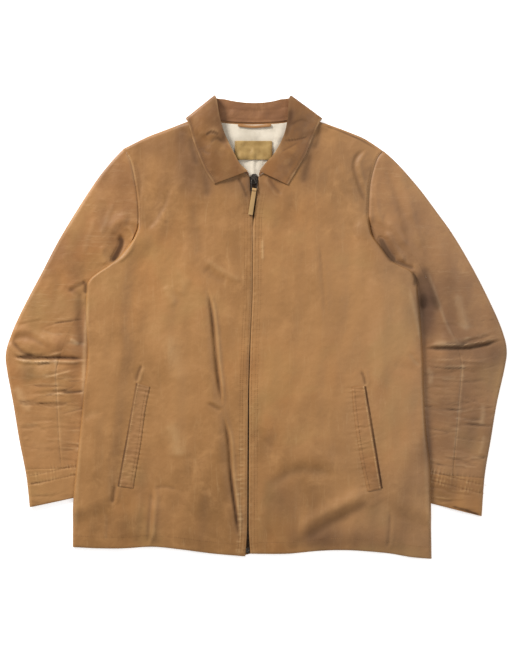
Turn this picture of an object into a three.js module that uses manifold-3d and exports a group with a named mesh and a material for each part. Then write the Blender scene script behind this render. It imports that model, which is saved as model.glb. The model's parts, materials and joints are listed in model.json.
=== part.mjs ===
// A zip-front leather jacket with a shirt collar, laid flat on its back with its sleeves
// tucked a little way under its sides. Millimetres. The surface that it lies on is z = 0,
// +Z is up, +Y points to the collar and +X to the wearer's left.
// "left" and "right" in names are the wearer's, so the right side is at -X.

import * as THREE from "three";
import Module from "manifold-3d";

// Thicknesses of what the jacket is sewn from, and the gap left at a seam.
const LEATHER = 1.5;
const CLOTH = 1.0;
const TAPE = 1.0;
const SEAM_GAP = 0.3;

// Heights of the flattened layers, measured from the surface under each of them.
const BODY_HEIGHT = 7.0;
const HEM_HEIGHT = 5.4;
const SLEEVE_HEIGHT = 7.6;
const PRESSED_SLEEVE = 5.0;
const LEAST_HEIGHT = 4.8;
const NECK_RISE = 3.0;
const SLEEVE_LIFT = PRESSED_SLEEVE + 2 * SEAM_GAP;
const COLLAR_LIFT = LEATHER + SEAM_GAP;

// How far the cloth takes to climb over what lies under it, and how wide its turned edges are.
const SLEEVE_RAMP = 30;
const COLLAR_RAMP = 14;
const EDGE_ROLL = 6;
const HEM_RAMP = 24;

// Collar: how far its side bends stand out, and how the leaf rises to its roll line.
const FALL_BEND = 5;
const STAND_BEND = 2.6;
const STAND_INSET = 2.4;
const ROLL_RISE = 2.0;

// Zip: the slider's place and size, its bail and its leather pull.
const CHAIN_WIDTH = 5;
const CHAIN_DEPTH = 1.5;
const TAPE_WIDTH = 12;
const SLIDER = { x: -3.4, y: 252.1, width: 10, length: 17, plate: 1.2 };
const BAIL = { wire: 1.4, width: 11.2, top: 251, foot: 233.4, lift: 1.1 };
const PULL = { length: 43, width: 7.6, thickness: 2.2, lean: 8.7, fall: 0.033 };

// Finish colours.
const TAN = 0xa97c4e;
const WORN_TAN = 0xa2764a;
const DARK_TAN = 0x8f6a44;
const LINING = 0xe6d9c6;
const LABEL = 0xb08d5a;
const METAL = 0x4a4642;
const TAPE_BROWN = 0x2e2a28;

// Outlines, as plan points in millimetres, from the jacket's middle. The sleeve is sewn to
// the body down to the armhole's first point, and from there the body's side lies over it.
const RIGHT = {
  outwards: -1,
  shoulder: [[-87.2, 360.9], [-116.1, 350.7], [-163.7, 332.9], [-187.5, 323.5], [-224.9, 304.8]],
  armhole: [[-210.1, 150.1], [-201.1, 175.6], [-202.8, 223.2], [-213, 279.3], [-224.9, 304.8]],
  side: [[-312.8, -374], [-311.3, -291.9], [-302.1, -200.1], [-292.9, -108.3], [-287, -48.8],
    [-289.5, 12.4], [-289.5, 52], [-284, 80.7], [-248.2, 107.6], [-227.1, 127.2], [-210.1, 150.1]],
  hem: [[-18.4, -389.8], [-71.9, -385.4], [-132.1, -377.7], [-177.3, -373.5], [-223.2, -376.2],
    [-269.1, -376.2], [-312.8, -374]],
  neckline: [[-12.4, 257.2], [-53.2, 284.4], [-75.3, 318.4], [-87.2, 360.9]],
  outerFold: [[-224.9, 304.8], [-250.4, 277.6], [-281, 236.8], [-332, 155.2], [-364.3, 94],
    [-396.6, 32.8], [-415.3, -8], [-426.3, -44], [-423.8, -76], [-413.6, -130.4], [-403.4, -191.6],
    [-391.5, -252.8], [-385.6, -306.3]],
  innerFold: [[-210.1, 150.1], [-236, 100], [-243, 40], [-243, -8], [-240.2, -44], [-247, -108.3],
    [-257.2, -169.5], [-264, -230.7], [-265.7, -280.8]],
  frontSeam: [0.9, 0.58, 0.45, 0.46, 0.48],
  roll: [[-14.1, 264.9], [-27.7, 277.6], [-36.2, 292.9], [-51.5, 323.5], [-60, 349], [-65.1, 369.4],
    [-71.1, 394.3]],
  leafEdge: [[-71.9, 243.6], [-87.2, 267.4], [-97.4, 291.2], [-105.9, 313.3], [-112.7, 333.7],
    [-120.5, 355.5]],
  pocketMouth: [[-204.5, -94.3], [-220.1, -182], [-235.8, -269.8]],
  pocketBack: [[-181.4, -101], [-189.2, -138.9], [-197, -197.5], [-206.5, -252.8], [-209.5, -273.2]],
};
const LEFT = {
  outwards: 1,
  shoulder: [[76, 360.9], [106.6, 350.7], [132.1, 342.2], [159.3, 332], [186.5, 320.1], [217.1, 299.7]],
  armhole: [[197, 159], [191.9, 186], [191.6, 207.9], [195, 248.7], [205.2, 284.4], [217.1, 299.7]],
  side: [[298.7, -394.2], [297, -291.9], [295.3, -230.7], [288.5, -169.5], [285.1, -108.3],
    [283.4, -48.8], [280, 7.3], [275.5, 52], [268, 90.7], [234.1, 111], [206.9, 143.3], [197, 159]],
  hem: [[-9.8, -385.4], [50.5, -385.4], [110, -380.3], [155.9, -379.4], [217.1, -383.7], [263, -391],
    [298.7, -394.2]],
  neckline: [[4.6, 257.2], [47.1, 284.4], [67.5, 318.4], [76, 360.9]],
  outerFold: [[217.1, 299.7], [240.9, 277.6], [276.6, 236.8], [307.2, 196], [336.1, 155.2],
    [371.8, 94], [402.4, 32.8], [419.4, -8], [426.3, -38.6], [422.8, -69.2], [409.2, -130.4],
    [399, -191.6], [388.8, -252.8], [383.7, -321.6]],
  innerFold: [[197, 159], [215, 108], [223, 52], [225, 3.9], [223.9, -38.6], [230.7, -108.3],
    [239.2, -169.5], [247.7, -230.7], [252.8, -288.5]],
  frontSeam: [0.9, 0.44, 0.37, 0.36, 0.39],
  roll: [[5.4, 264.9], [14.8, 277.6], [30.1, 294.6], [45.4, 321.8], [52.2, 347.3], [55.6, 372.8],
    [59, 394.3]],
  leafEdge: [[53.9, 241.9], [74.3, 275.9], [84.5, 292.9], [94.7, 318.4], [103.2, 337.1], [112.5, 355.5]],
  pocketMouth: [[186.2, -100.1], [200.6, -186], [214.7, -273.2]],
  pocketBack: [[163, -101.5], [165.8, -140.6], [171.7, -186.5], [179.5, -234.1], [189.5, -279]],
};
const BACK_NECK = [[-87.2, 360.9], [-58.3, 349.9], [-6, 346.5], [50.2, 349.9], [76, 360.9]];
const ROLL_BACK = [[-71.1, 394.3], [-44.7, 386.4], [-9, 382.2], [26.7, 384.7], [59, 394.3]];
const FALL_BACK_EDGE = [[-120.5, 355.5], [-70.2, 339.5], [-6, 335.4], [57.3, 339.5], [112.5, 355.5]];

// The zip's centre line, and half the gap between the two front edges beside it.
const ZIP_LINE = [[-14.4, -386], [-14.1, -327.6], [-13.6, -208.6], [-12.8, -98.1], [-9.9, -13.1],
  [-6.8, 46.4], [-5.6, 165.4], [-3.9, 257.2]];
const ZIP_GAP = [[-386, 4.3], [-360, 2.6], [-325, 1.8], [185, 1.8], [212, 4], [232, 7.2], [257.2, 8]];

// The largest folds: plan points, height (a trough's is negative) and half width.
const FOLDS = [
  { path: [[-97, 75], [-90, 12], [-82, -73], [-74, -141], [-68, -200], [-58, -275], [-46, -350]],
    height: 3.4, width: 20 },
  { path: [[-70, 60], [-62, -10], [-52, -90], [-44, -150], [-38, -220], [-34, -320]], height: -1.6,
    width: 18 },
  { path: [[-130, 262], [-152, 200], [-178, 150], [-196, 130]], height: 1.8, width: 20 },
  { path: [[-104, 232], [-96, 190], [-92, 130], [-60, 92]], height: -1.4, width: 18 },
  { path: [[-157, 85], [-150, 40], [-158, -45], [-134, -110], [-150, -180], [-132, -235]],
    height: 2.2, width: 24 },
  { path: [[-168, -292], [-182, -370]], height: 2.6, width: 20 },
  { path: [[-232, -300], [-240, -362]], height: 1.6, width: 20 },
  { path: [[96, 150], [104, 80], [112, 0], [116, -60]], height: 1.8, width: 20 },
  { path: [[20, -258], [60, -225], [110, -222], [150, -250]], height: 2.0, width: 22 },
  { path: [[112, -352], [160, -330], [205, -306], [250, -280]], height: -1.8, width: 20 },
  { path: [[120, -318], [165, -296], [212, -292]], height: 2.4, width: 18 },
  { path: [[128, 300], [150, 250], [172, 190], [186, 140]], height: 2.2, width: 18 },
  { path: [[246, 50], [262, -20], [258, -90], [262, -200], [268, -330]], height: 2.2, width: 22 },
  { path: [[-262, 20], [-266, -80], [-276, -200], [-286, -320]], height: 2.2, width: 22 },
  { path: [[-252, 158], [-237, 178], [-214, 182]], height: 3.2, width: 16 },
  { path: [[-232, 150], [-246, 118]], height: -2.2, width: 12 },
  { path: [[214, 180], [236, 168], [252, 132]], height: 3.2, width: 16 },
  { path: [[222, 146], [238, 118]], height: -2.2, width: 12 },
  { path: [[-402, -34], [-360, -26], [-318, -30]], height: 2.6, width: 16 },
  { path: [[-404, -72], [-360, -74], [-310, -78]], height: 2.4, width: 16 },
  { path: [[304, -20], [350, -20], [402, -14]], height: 2.6, width: 16 },
  { path: [[304, -62], [350, -62], [400, -56]], height: 2.4, width: 16 },
  { path: [[-290, 200], [-330, 110], [-366, 40]], height: 1.8, width: 22 },
  { path: [[262, 215], [316, 120], [366, 30]], height: 1.8, width: 22 },
];

// Curves and patches.

const clamp01 = (t) => Math.min(1, Math.max(0, t));
const ease = (t) => clamp01(t) ** 2 * (3 - 2 * clamp01(t));
const mix = (a, b, t) => a + (b - a) * t;
const steps = (count, from = 0, to = 1) =>
  Array.from({ length: count + 1 }, (_, i) => mix(from, to, i / count));
const radians = THREE.MathUtils.degToRad;

// A smooth edge through plan points, read by its share of the length.
function smooth(points) {
  const spline = new THREE.SplineCurve(points.map(([x, y]) => new THREE.Vector2(x, y)));
  return (t) => spline.getPointAt(clamp01(t));
}

// Edges joined end to end; each [edge, share] takes its own share of the whole.
function chain(...pieces) {
  return (t) => {
    let from = 0;
    for (const [edge, share] of pieces.slice(0, -1)) {
      if (t <= from + share) return edge((t - from) / share);
      from += share;
    }
    return pieces.at(-1)[0]((t - from) / pieces.at(-1)[1]);
  };
}

const backwards = (edge) => (t) => edge(1 - t);

// A value read from a list of [place, value] pairs by straight lines between them.
function lookUp(list, place) {
  const k = list.findIndex(([at]) => at >= place);
  if (k === 0) return list[0][1];
  if (k < 0) return list.at(-1)[1];
  const [[a, va], [b, vb]] = [list[k - 1], list[k]];
  return mix(va, vb, (place - a) / (b - a));
}

// A plan patch between four edges: low and high run with u, start and end with v.
function patch(low, high, start, end) {
  const corner = [low(0), low(1), high(0), high(1)];
  return (u, v) => low(u).multiplyScalar(1 - v).addScaledVector(high(u), v)
    .addScaledVector(start(v), 1 - u).addScaledVector(end(v), u)
    .addScaledVector(corner[0], -(1 - u) * (1 - v)).addScaledVector(corner[1], -u * (1 - v))
    .addScaledVector(corner[2], -(1 - u) * v).addScaledVector(corner[3], -u * v);
}

// Distance from a plan point to a row of plan points, and the share of the way along it.
function nearest(p, points) {
  let best = { distance: Infinity, share: 0 };
  for (let i = 0; i + 1 < points.length; i++) {
    const a = points[i];
    const dx = points[i + 1].x - a.x;
    const dy = points[i + 1].y - a.y;
    const t = clamp01(((p.x - a.x) * dx + (p.y - a.y) * dy) / (dx * dx + dy * dy || 1));
    const distance = Math.hypot(p.x - a.x - t * dx, p.y - a.y - t * dy);
    if (distance < best.distance) best = { distance, share: (i + t) / (points.length - 1) };
  }
  return best;
}

// How far a plan point lies outside a closed outline; 0 anywhere inside it.
function outside(p, outline) {
  let inside = false;
  outline.forEach((a, i) => {
    const b = outline[(i + 1) % outline.length];
    const crossing = ((b.x - a.x) * (p.y - a.y)) / (b.y - a.y) + a.x;
    if (a.y > p.y !== b.y > p.y && p.x < crossing) inside = !inside;
  });
  return inside ? 0 : nearest(p, [...outline, outline[0]]).distance;
}

const zipX = (y) => lookUp(ZIP_LINE.map(([x, at]) => [at, x]), y);

for (const side of [RIGHT, LEFT]) {
  const zipEdge = steps(16, side.hem[0][1], side.neckline[0][1])
    .map((y) => [zipX(y) + side.outwards * lookUp(ZIP_GAP, y), y]);
  side.zipEdge = smooth(zipEdge);
  side.hemEdge = smooth([zipEdge[0], ...side.hem.slice(1)]);
  side.neckEdge = smooth([zipEdge.at(-1), ...side.neckline.slice(1)]);
  for (const name of ["shoulder", "armhole", "side", "outerFold", "innerFold", "roll", "leafEdge"])
    side[`${name}Edge`] = smooth(side[name]);
  // The sleeve lies under the body inside this outline.
  const cuffEnd = side.innerFold.at(-1)[1];
  side.tucked = [
    ...steps(30).map(side.innerFoldEdge),
    ...steps(60).map(side.sideEdge).filter((p) => p.y > cuffEnd - 26),
  ];
  const [mouth, behind] = [smooth(side.pocketMouth), smooth(side.pocketBack)];
  side.welt = [...steps(6).map(mouth), ...steps(6).map(backwards(behind))];
}

// The collar's back part lies under the back of the jacket inside this outline.
const COLLAR_BED = [
  ...steps(12).map(smooth(FALL_BACK_EDGE)),
  ...steps(12).map(backwards(smooth(ROLL_BACK))),
];

// Heights over the plan.

const foldLines = FOLDS.map((fold) => ({ ...fold, line: steps(16).map(smooth(fold.path)) }));

// Folds fade out beside the zip, under the collar and under the pocket welts.
function foldHeight(p) {
  const besideZip = ease((Math.abs(p.x - zipX(p.y)) - 10) / 26);
  const belowCollar = ease((282 - p.y + 0.5 * Math.abs(p.x + 6)) / 40);
  const welt = Math.min(outside(p, RIGHT.welt), outside(p, LEFT.welt));
  let sum = 0;
  for (const { line, height, width } of foldLines) {
    const { distance, share } = nearest(p, line);
    const reach = distance / width;
    if (reach > 2) continue;
    const taper = 0.2 + 0.8 * ease(share * 4) * ease((1 - share) * 4);
    sum += height * taper * Math.exp(-1.6 * reach * reach) * ease(2 - reach);
  }
  return sum * besideZip * belowCollar * ease((welt - 4) / 26);
}

// The underside of the back: flat on the surface, and up over each tucked sleeve and the collar.
function backLift(p) {
  const over = (outline, lift, flat, ramp) => lift * ease(1 - (outside(p, outline) - flat) / ramp);
  return Math.max(
    over(RIGHT.tucked, SLEEVE_LIFT, 8, SLEEVE_RAMP),
    over(LEFT.tucked, SLEEVE_LIFT, 8, SLEEVE_RAMP),
    over(COLLAR_BED, COLLAR_LIFT, 11, COLLAR_RAMP),
  );
}

function hemDistance(p) {
  const hem = [...RIGHT.hem].reverse().concat(LEFT.hem);
  return p.y - lookUp(hem.map(([x, y]) => [x, y]), p.x);
}

// The top of the fronts: the flattened body's own height, its folds, and the rise at the neck.
function frontTop(p) {
  const fromHem = ease(hemDistance(p) / HEM_RAMP);
  const neck = NECK_RISE * ease((p.y - 175) / 50) * ease((130 - Math.abs(p.x + 6)) / 50);
  const flat = mix(HEM_HEIGHT, BODY_HEIGHT, fromHem);
  return backLift(p) + Math.max(LEAST_HEIGHT, flat + neck + foldHeight(p) * (0.4 + 0.6 * fromHem));
}

// The top of a sleeve: level with the front at the armhole, and pressed where it is tucked.
function sleeveTop(p, side, fromArmhole) {
  const free = ease((outside(p, side.tucked) - 6) / 34);
  const own = Math.max(LEAST_HEIGHT, mix(PRESSED_SLEEVE, SLEEVE_HEIGHT + foldHeight(p), free));
  const level = ease(1 - fromArmhole / 40) * ease((outside(p, side.tucked) - 10) / 24);
  return mix(own, Math.min(frontTop(p), own + 1.2), level);
}

// Solids.

// A closed wall. The grid is its outer face, and its thickness lies behind that.
// facing is 1 where a row's direction turned to the next row's points out, and -1 where in.
function wall(grid, thickness, facing, { ring = false, least = () => 0 } = {}) {
  const rows = grid.length;
  const cols = grid[0].length;
  const at = (i, j) => grid[THREE.MathUtils.clamp(i, 0, rows - 1)][
    ring ? (j + cols) % cols : THREE.MathUtils.clamp(j, 0, cols - 1)];
  const behind = grid.map((row, i) => row.map((p, j) => {
    const across = at(i, j + 1).clone().sub(at(i, j - 1));
    const along = at(i + 1, j).clone().sub(at(i - 1, j));
    const moved = p.clone().addScaledVector(across.cross(along).normalize(), -facing * thickness);
    return moved.setZ(Math.max(moved.z, least(moved)));
  }));
  const index = [];
  const id = (i, j, layer) => layer * rows * cols + i * cols + (j % cols);
  const quad = (a, b, c, d) => index.push(...(facing > 0 ? [a, b, c, a, c, d] : [a, c, b, a, d, c]));
  const last = ring ? cols : cols - 1;
  for (let i = 0; i < rows - 1; i++) {
    for (let j = 0; j < last; j++) {
      quad(id(i, j, 0), id(i, j + 1, 0), id(i + 1, j + 1, 0), id(i + 1, j, 0));
      quad(id(i, j, 1), id(i + 1, j, 1), id(i + 1, j + 1, 1), id(i, j + 1, 1));
    }
    if (ring) continue;
    quad(id(i, 0, 0), id(i + 1, 0, 0), id(i + 1, 0, 1), id(i, 0, 1));
    quad(id(i, last, 0), id(i, last, 1), id(i + 1, last, 1), id(i + 1, last, 0));
  }
  for (let j = 0; j < last; j++) {
    quad(id(0, j, 0), id(0, j, 1), id(0, j + 1, 1), id(0, j + 1, 0));
    quad(id(rows - 1, j, 0), id(rows - 1, j + 1, 0), id(rows - 1, j + 1, 1), id(rows - 1, j, 1));
  }
  const geometry = new THREE.BufferGeometry().setFromPoints([...grid.flat(), ...behind.flat()]);
  geometry.setIndex(index);
  geometry.computeVertexNormals();
  geometry.userData = { grid, behind };
  return geometry;
}

// The height of a grid's own facets over a plan point.
function heightOn(grid, p) {
  for (let i = 0; i + 1 < grid.length; i++) {
    for (let j = 0; j + 1 < grid[i].length; j++) {
      const [a, b, c, d] = [grid[i][j], grid[i][j + 1], grid[i + 1][j + 1], grid[i + 1][j]];
      for (const [q, r, s] of [[a, b, c], [a, c, d]]) {
        const area = (r.x - q.x) * (s.y - q.y) - (s.x - q.x) * (r.y - q.y);
        if (Math.abs(area) < 1e-9) continue;
        const wr = ((p.x - q.x) * (s.y - q.y) - (s.x - q.x) * (p.y - q.y)) / area;
        const ws = ((r.x - q.x) * (p.y - q.y) - (p.x - q.x) * (r.y - q.y)) / area;
        const within = wr >= -1e-6 && ws >= -1e-6 && wr + ws <= 1 + 1e-6;
        if (within) return q.z * (1 - wr - ws) + r.z * wr + s.z * ws;
      }
    }
  }
  return -Infinity;
}

const jacket = new THREE.Group();
const pull = new THREE.Group();

function add(name, geometry, color, roughness = 0.55, metalness = 0, parent = jacket) {
  const material = new THREE.MeshStandardMaterial({ color, roughness, metalness });
  const mesh = new THREE.Mesh(geometry, material);
  mesh.name = name;
  parent.add(mesh);
  return geometry;
}

// Fronts and back share their rows: up the side to the armhole's foot, then up the armhole.
const SIDE_SHARE = 0.72;
const NECK_SHARE = 0.86;
const TURN_IN = 0.034;
const SIDE_ROWS = [...steps(10, 0, 0.53), ...steps(6, 0.555, SIDE_SHARE)];
const ARMHOLE_ROWS = [0.765, 0.81, 0.855, 0.9, 0.935];
const TURNS = [62, 34, 0].map(radians);
const ARMHOLE_GAP = 1.3;

// How far the body's edge is turned down: wholly along the side, and not at the armhole.
const turnedDown = (v) => ease((SIDE_SHARE - v) / TURN_IN);
// The least share of a row, from one of its ends, that is a given distance in from the side.
function inFrom(side, row, distance) {
  const line = steps(90).map(sideOf(side));
  let share = 0;
  while (nearest(row(share), line).distance < distance) share += 0.0005;
  return share;
}

const sideOf = (side) => chain([side.sideEdge, SIDE_SHARE], [side.armholeEdge, 1 - SIDE_SHARE]);

function front(side) {
  const start = chain([side.zipEdge, NECK_SHARE], [side.neckEdge, 1 - NECK_SHARE]);
  const at = patch(side.hemEdge, side.shoulderEdge, start, sideOf(side));
  const height = at(0.5, 0).distanceTo(at(0.5, 1));
  const flatRows = [...SIDE_ROWS, ...ARMHOLE_ROWS, 1 - EDGE_ROLL / height];
  const rows = [...flatRows.map((v) => ({ v, turn: Math.PI / 2 })),
    ...TURNS.map((turn) => ({ v: 1 - (EDGE_ROLL / height) * (1 - Math.cos(turn)), turn }))];
  const grid = rows.map(({ v, turn }) => {
    const width = at(0, v).distanceTo(at(1, v));
    const turned = turnedDown(v);
    const place = (u, drop) => {
      const p = at(u, v);
      const lift = backLift(p);
      return new THREE.Vector3(p.x, p.y, lift + (frontTop(p) - lift) * drop * Math.sin(turn));
    };
    const flatEnd = 1 - EDGE_ROLL / width;
    return [
      ...steps(16, 0, flatEnd).map((u) => place(u, 1)),
      ...TURNS.map((angle) => {
        const sewn = EDGE_ROLL * (angle / Math.PI) * 2 + ARMHOLE_GAP / 2;
        const inset = mix(sewn, EDGE_ROLL * (1 - Math.cos(angle)), turned);
        return place(1 - inset / width, mix(1, Math.sin(angle), turned));
      }),
    ];
  });
  return wall(grid, LEATHER, side.outwards, { least: backLift });
}

const fronts = {
  right: add("front_right", front(RIGHT), TAN),
  left: add("front_left", front(LEFT), TAN),
};

// The back is one panel inside the turned edges of the fronts.
function back() {
  const sewn = 1.8;
  const turned = 2 * LEATHER;
  const shoulderInset = 3.3;
  const neckInset = 1;
  const shoulderShare = 0.31;
  const hem = (u) => (u < 0.5 ? RIGHT.hemEdge(1 - 2 * u) : LEFT.hemEdge(2 * u - 1));
  const top = chain([backwards(RIGHT.shoulderEdge), shoulderShare],
    [smooth(BACK_NECK), 1 - 2 * shoulderShare], [LEFT.shoulderEdge, shoulderShare]);
  const at = patch(hem, top, sideOf(RIGHT), sideOf(LEFT));
  const height = at(0.5, 0).distanceTo(at(0.5, 1));
  const columns = [0, 0.03, 0.06, 0.09, 0.12, 0.155, 0.19, 0.25, 0.31, 0.36, 0.42, 0.5, 0.58, 0.64, 0.69,
    0.75, 0.81, 0.845, 0.88, 0.91, 0.94, 0.97, 1];
  const rows = [...SIDE_ROWS, ...ARMHOLE_ROWS, 0.955, 0.97, 0.985, 1];
  const grid = rows.map((v) => {
    const edge = mix(sewn, turned, turnedDown(v));
    const right = inFrom(RIGHT, (share) => at(share, v), edge);
    const left = inFrom(LEFT, (share) => at(1 - share, v), edge);
    return columns.map((u) => {
      const onNeck = Math.abs(u - 0.5) < 0.49 - shoulderShare;
      const fit = ease((v - 0.9) / 0.1) * (onNeck ? neckInset : shoulderInset);
      const p = at(mix(right, 1 - left, u), v - fit / height);
      return new THREE.Vector3(p.x, p.y, backLift(p));
    });
  });
  return wall(grid, LEATHER, -1);
}

const backPanel = add("back", back(), TAN);

// Sleeves: flattened tubes of two panels each, and a cuff. u runs from the outer fold to the
// inner one and v from the armhole to the cuff's end.
const CUFF_LENGTH = 60;
const HIND_SEAM = 0.42;
const TUBE_TURNS = [40, 0, -40].map(radians);

function sleeve(side) {
  const cuffEnd = smooth([side.outerFold.at(-1), side.innerFold.at(-1)]);
  const at = patch(backwards(side.armholeEdge), cuffEnd, side.outerFoldEdge, side.innerFoldEdge);
  const length = at(0.4, 0).distanceTo(at(0.4, 1));
  const cuffStart = 1 - CUFF_LENGTH / length;
  const section = (v) => {
    const width = at(0, v).distanceTo(at(1, v));
    const share = (mm) => mm / width;
    const top = (u) => {
      const p = at(u, v);
      return new THREE.Vector3(p.x, p.y, sleeveTop(p, side, v * length));
    };
    const floor = (u) => {
      const p = at(u, v);
      return new THREE.Vector3(p.x, p.y, 0);
    };
    const fold = (outer, angle) => {
      const edge = outer ? share(EDGE_ROLL) : 1 - share(EDGE_ROLL);
      const half = top(edge).z / 2;
      const inset = share(EDGE_ROLL * (1 - Math.cos(angle)));
      const p = at(outer ? inset : 1 - inset, v);
      return new THREE.Vector3(p.x, p.y, half * (1 + Math.sin(angle)));
    };
    const seam = lookUp(side.frontSeam.map((place, i, all) => [i / (all.length - 1), place]), v);
    return { top, floor, fold, share, seam };
  };
  const upperRow = (v) => {
    const { top, floor, fold, share, seam } = section(v);
    return [
      ...steps(6, seam - share(ARMHOLE_GAP / 2), share(EDGE_ROLL)).map(top),
      ...TUBE_TURNS.map((angle) => fold(true, angle)),
      ...steps(2, share(EDGE_ROLL), HIND_SEAM - share(ARMHOLE_GAP / 2)).map(floor),
    ];
  };
  const underRow = (v) => {
    const { top, floor, fold, share, seam } = section(v);
    const first = Math.min(seam, 1 - 2 * share(EDGE_ROLL)) + share(ARMHOLE_GAP / 2);
    return [
      ...steps(5, first, 1 - share(EDGE_ROLL)).map(top),
      ...TUBE_TURNS.map((angle) => fold(false, angle)),
      ...steps(2, 1 - share(EDGE_ROLL), HIND_SEAM + share(ARMHOLE_GAP / 2)).map(floor),
    ];
  };
  const cuffRow = (v) => {
    const { top, floor, fold, share } = section(v);
    return [
      ...steps(7, 1 - share(EDGE_ROLL), share(EDGE_ROLL)).map(top),
      ...TUBE_TURNS.map((angle) => fold(true, angle)),
      ...steps(3, share(EDGE_ROLL), 1 - share(EDGE_ROLL)).map(floor),
      ...[...TUBE_TURNS].reverse().map((angle) => fold(false, angle)),
    ];
  };
  const halfGap = SEAM_GAP / 2 / length;
  const rows = steps(16, ARMHOLE_GAP / length, cuffStart - halfGap);
  const cuffRows = steps(3, cuffStart + halfGap, 1);
  return {
    upper: wall(rows.map(upperRow), LEATHER, -side.outwards),
    under: wall(rows.map(underRow), LEATHER, side.outwards),
    cuff: wall(cuffRows.map(cuffRow), LEATHER, -side.outwards, { ring: true }),
  };
}

for (const [name, side] of [["right", RIGHT], ["left", LEFT]]) {
  const made = sleeve(side);
  add(`sleeve_upper_${name}`, made.upper, TAN);
  add(`sleeve_under_${name}`, made.under, TAN);
  add(`cuff_${name}`, made.cuff, WORN_TAN);
}

// Collar bands, each flattened round the neck: the right front, a bend, the back, a bend and
// the left front. Every column crosses the band, from its low edge to its high one.

// The side of the neck is drawn in by its bend, so that the bend reaches the outline.
function drawnIn(edge, side, bend, near) {
  const corner = side.roll.at(-1);
  const tip = side.leafEdge.at(-1);
  const along = new THREE.Vector2(tip[0] - corner[0], tip[1] - corner[1]).normalize();
  const inwards = new THREE.Vector2(along.y * side.outwards, -along.x * side.outwards);
  return (t) => edge(t).addScaledVector(inwards, bend * near(t));
}

function band({ sides, back, crossings, bend, drawn, facing, frontZ, backZ }) {
  const column = (low, high, z, t) => crossings.map((w) => {
    const p = low(t).lerp(high(t), w);
    return new THREE.Vector3(p.x, p.y, z(p, w));
  });
  const nearCorner = (t) => ease((t - 0.7) / 0.3);
  const onSide = (side, t) => t < 0.5 === side.outwards < 0;
  const nearEnds = (side) => (t) => (onSide(side, t) ? ease((Math.abs(t - 0.5) - 0.34) / 0.16) : 0);
  const leafColumn = (side, k, t) => column(drawnIn(sides[k][0], side, drawn, nearCorner),
    drawnIn(sides[k][1], side, drawn, nearCorner), frontZ, t);
  const backEdge = (edge) => (t) => {
    const side = t < 0.5 ? RIGHT : LEFT;
    return drawnIn(edge, side, drawn, nearEnds(side))(t);
  };
  const backColumn = (t) => column(backEdge(back[0]), backEdge(back[1]), backZ, t);
  const turn = (from, to, side) => {
    const along = from.at(-1).clone().sub(from[0]).setZ(0).normalize();
    const away = new THREE.Vector3(-along.y, along.x, 0);
    if (away.x * side.outwards < 0) away.negate();
    return [52, 0, -52].map(radians).map((angle) => from.map((a, i) => {
      const down = (1 - Math.sin(angle)) / 2;
      return a.clone().lerp(to[i], down).addScaledVector(away, bend * Math.cos(angle));
    }));
  };
  const right = steps(7).map((t) => leafColumn(RIGHT, 0, t));
  const middle = steps(9).map(backColumn);
  const left = steps(7).map((t) => leafColumn(LEFT, 1, 1 - t));
  const leftTurn = turn(left[0], middle.at(-1), LEFT).reverse();
  const rightTurn = turn(right.at(-1), middle[0], RIGHT);
  return wall([...right, ...rightTurn, ...middle, ...leftTurn, ...left], LEATHER, facing);
}

const STAND_TOP = LEATHER + SEAM_GAP;

// The leaf lies over the stand near its roll line, and on the front beyond it.
function fallZ(p, w) {
  const overStand = (STAND_TOP - 0.6) * ease((0.85 - w) / 0.3);
  return frontTop(p) + LEATHER + 1.2 + overStand + ROLL_RISE * (1 - w) ** 2;
}

add("collar_fall", band({
  sides: [RIGHT, LEFT].map((side) => [side.rollEdge, side.leafEdgeEdge]),
  back: [smooth(ROLL_BACK), smooth(FALL_BACK_EDGE)],
  crossings: steps(5),
  bend: FALL_BEND,
  drawn: FALL_BEND,
  facing: -1,
  frontZ: fallZ,
  backZ: () => 0,
}), DARK_TAN);

function standEdges(side) {
  const foot = (t) => side.neckEdge(t).lerp(side.rollEdge(t), 0.04 + 0.06 * t);
  const head = (t) => {
    const p = side.rollEdge(t);
    return p.addScaledVector(side.neckEdge(t).sub(p).normalize(), STAND_INSET);
  };
  return [foot, head];
}

const lowered = (edge, by) => (t) => {
  const p = edge(t);
  return p.setY(p.y + by);
};
add("collar_stand", band({
  sides: [RIGHT, LEFT].map(standEdges),
  back: [lowered(smooth(BACK_NECK), 2.4), lowered(smooth(ROLL_BACK), -STAND_INSET)],
  crossings: steps(2),
  bend: STAND_BEND,
  drawn: STAND_BEND + LEATHER + 2 * SEAM_GAP,
  facing: 1,
  frontZ: (p) => frontTop(p) + STAND_TOP,
  backZ: () => COLLAR_LIFT,
}), DARK_TAN);

// Pocket welts lie on the fronts.
function overlay(lines, onto, clearance, thickness, counts, facing) {
  const [first, second] = lines;
  const grid = steps(counts[0]).map((t) => steps(counts[1]).map((w) => {
    const p = first(t).lerp(second(t), w);
    return new THREE.Vector3(p.x, p.y, onto(p) + clearance + thickness);
  }));
  return wall(grid, thickness, facing);
}

for (const [name, side] of [["right", RIGHT], ["left", LEFT]]) {
  const onFront = (p) => heightOn(fronts[name].userData.grid, p);
  add(`pocket_welt_${name}`, overlay([smooth(side.pocketMouth), smooth(side.pocketBack)], onFront,
    0.5, LEATHER, [12, 3], side.outwards), WORN_TAN);
}

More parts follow.
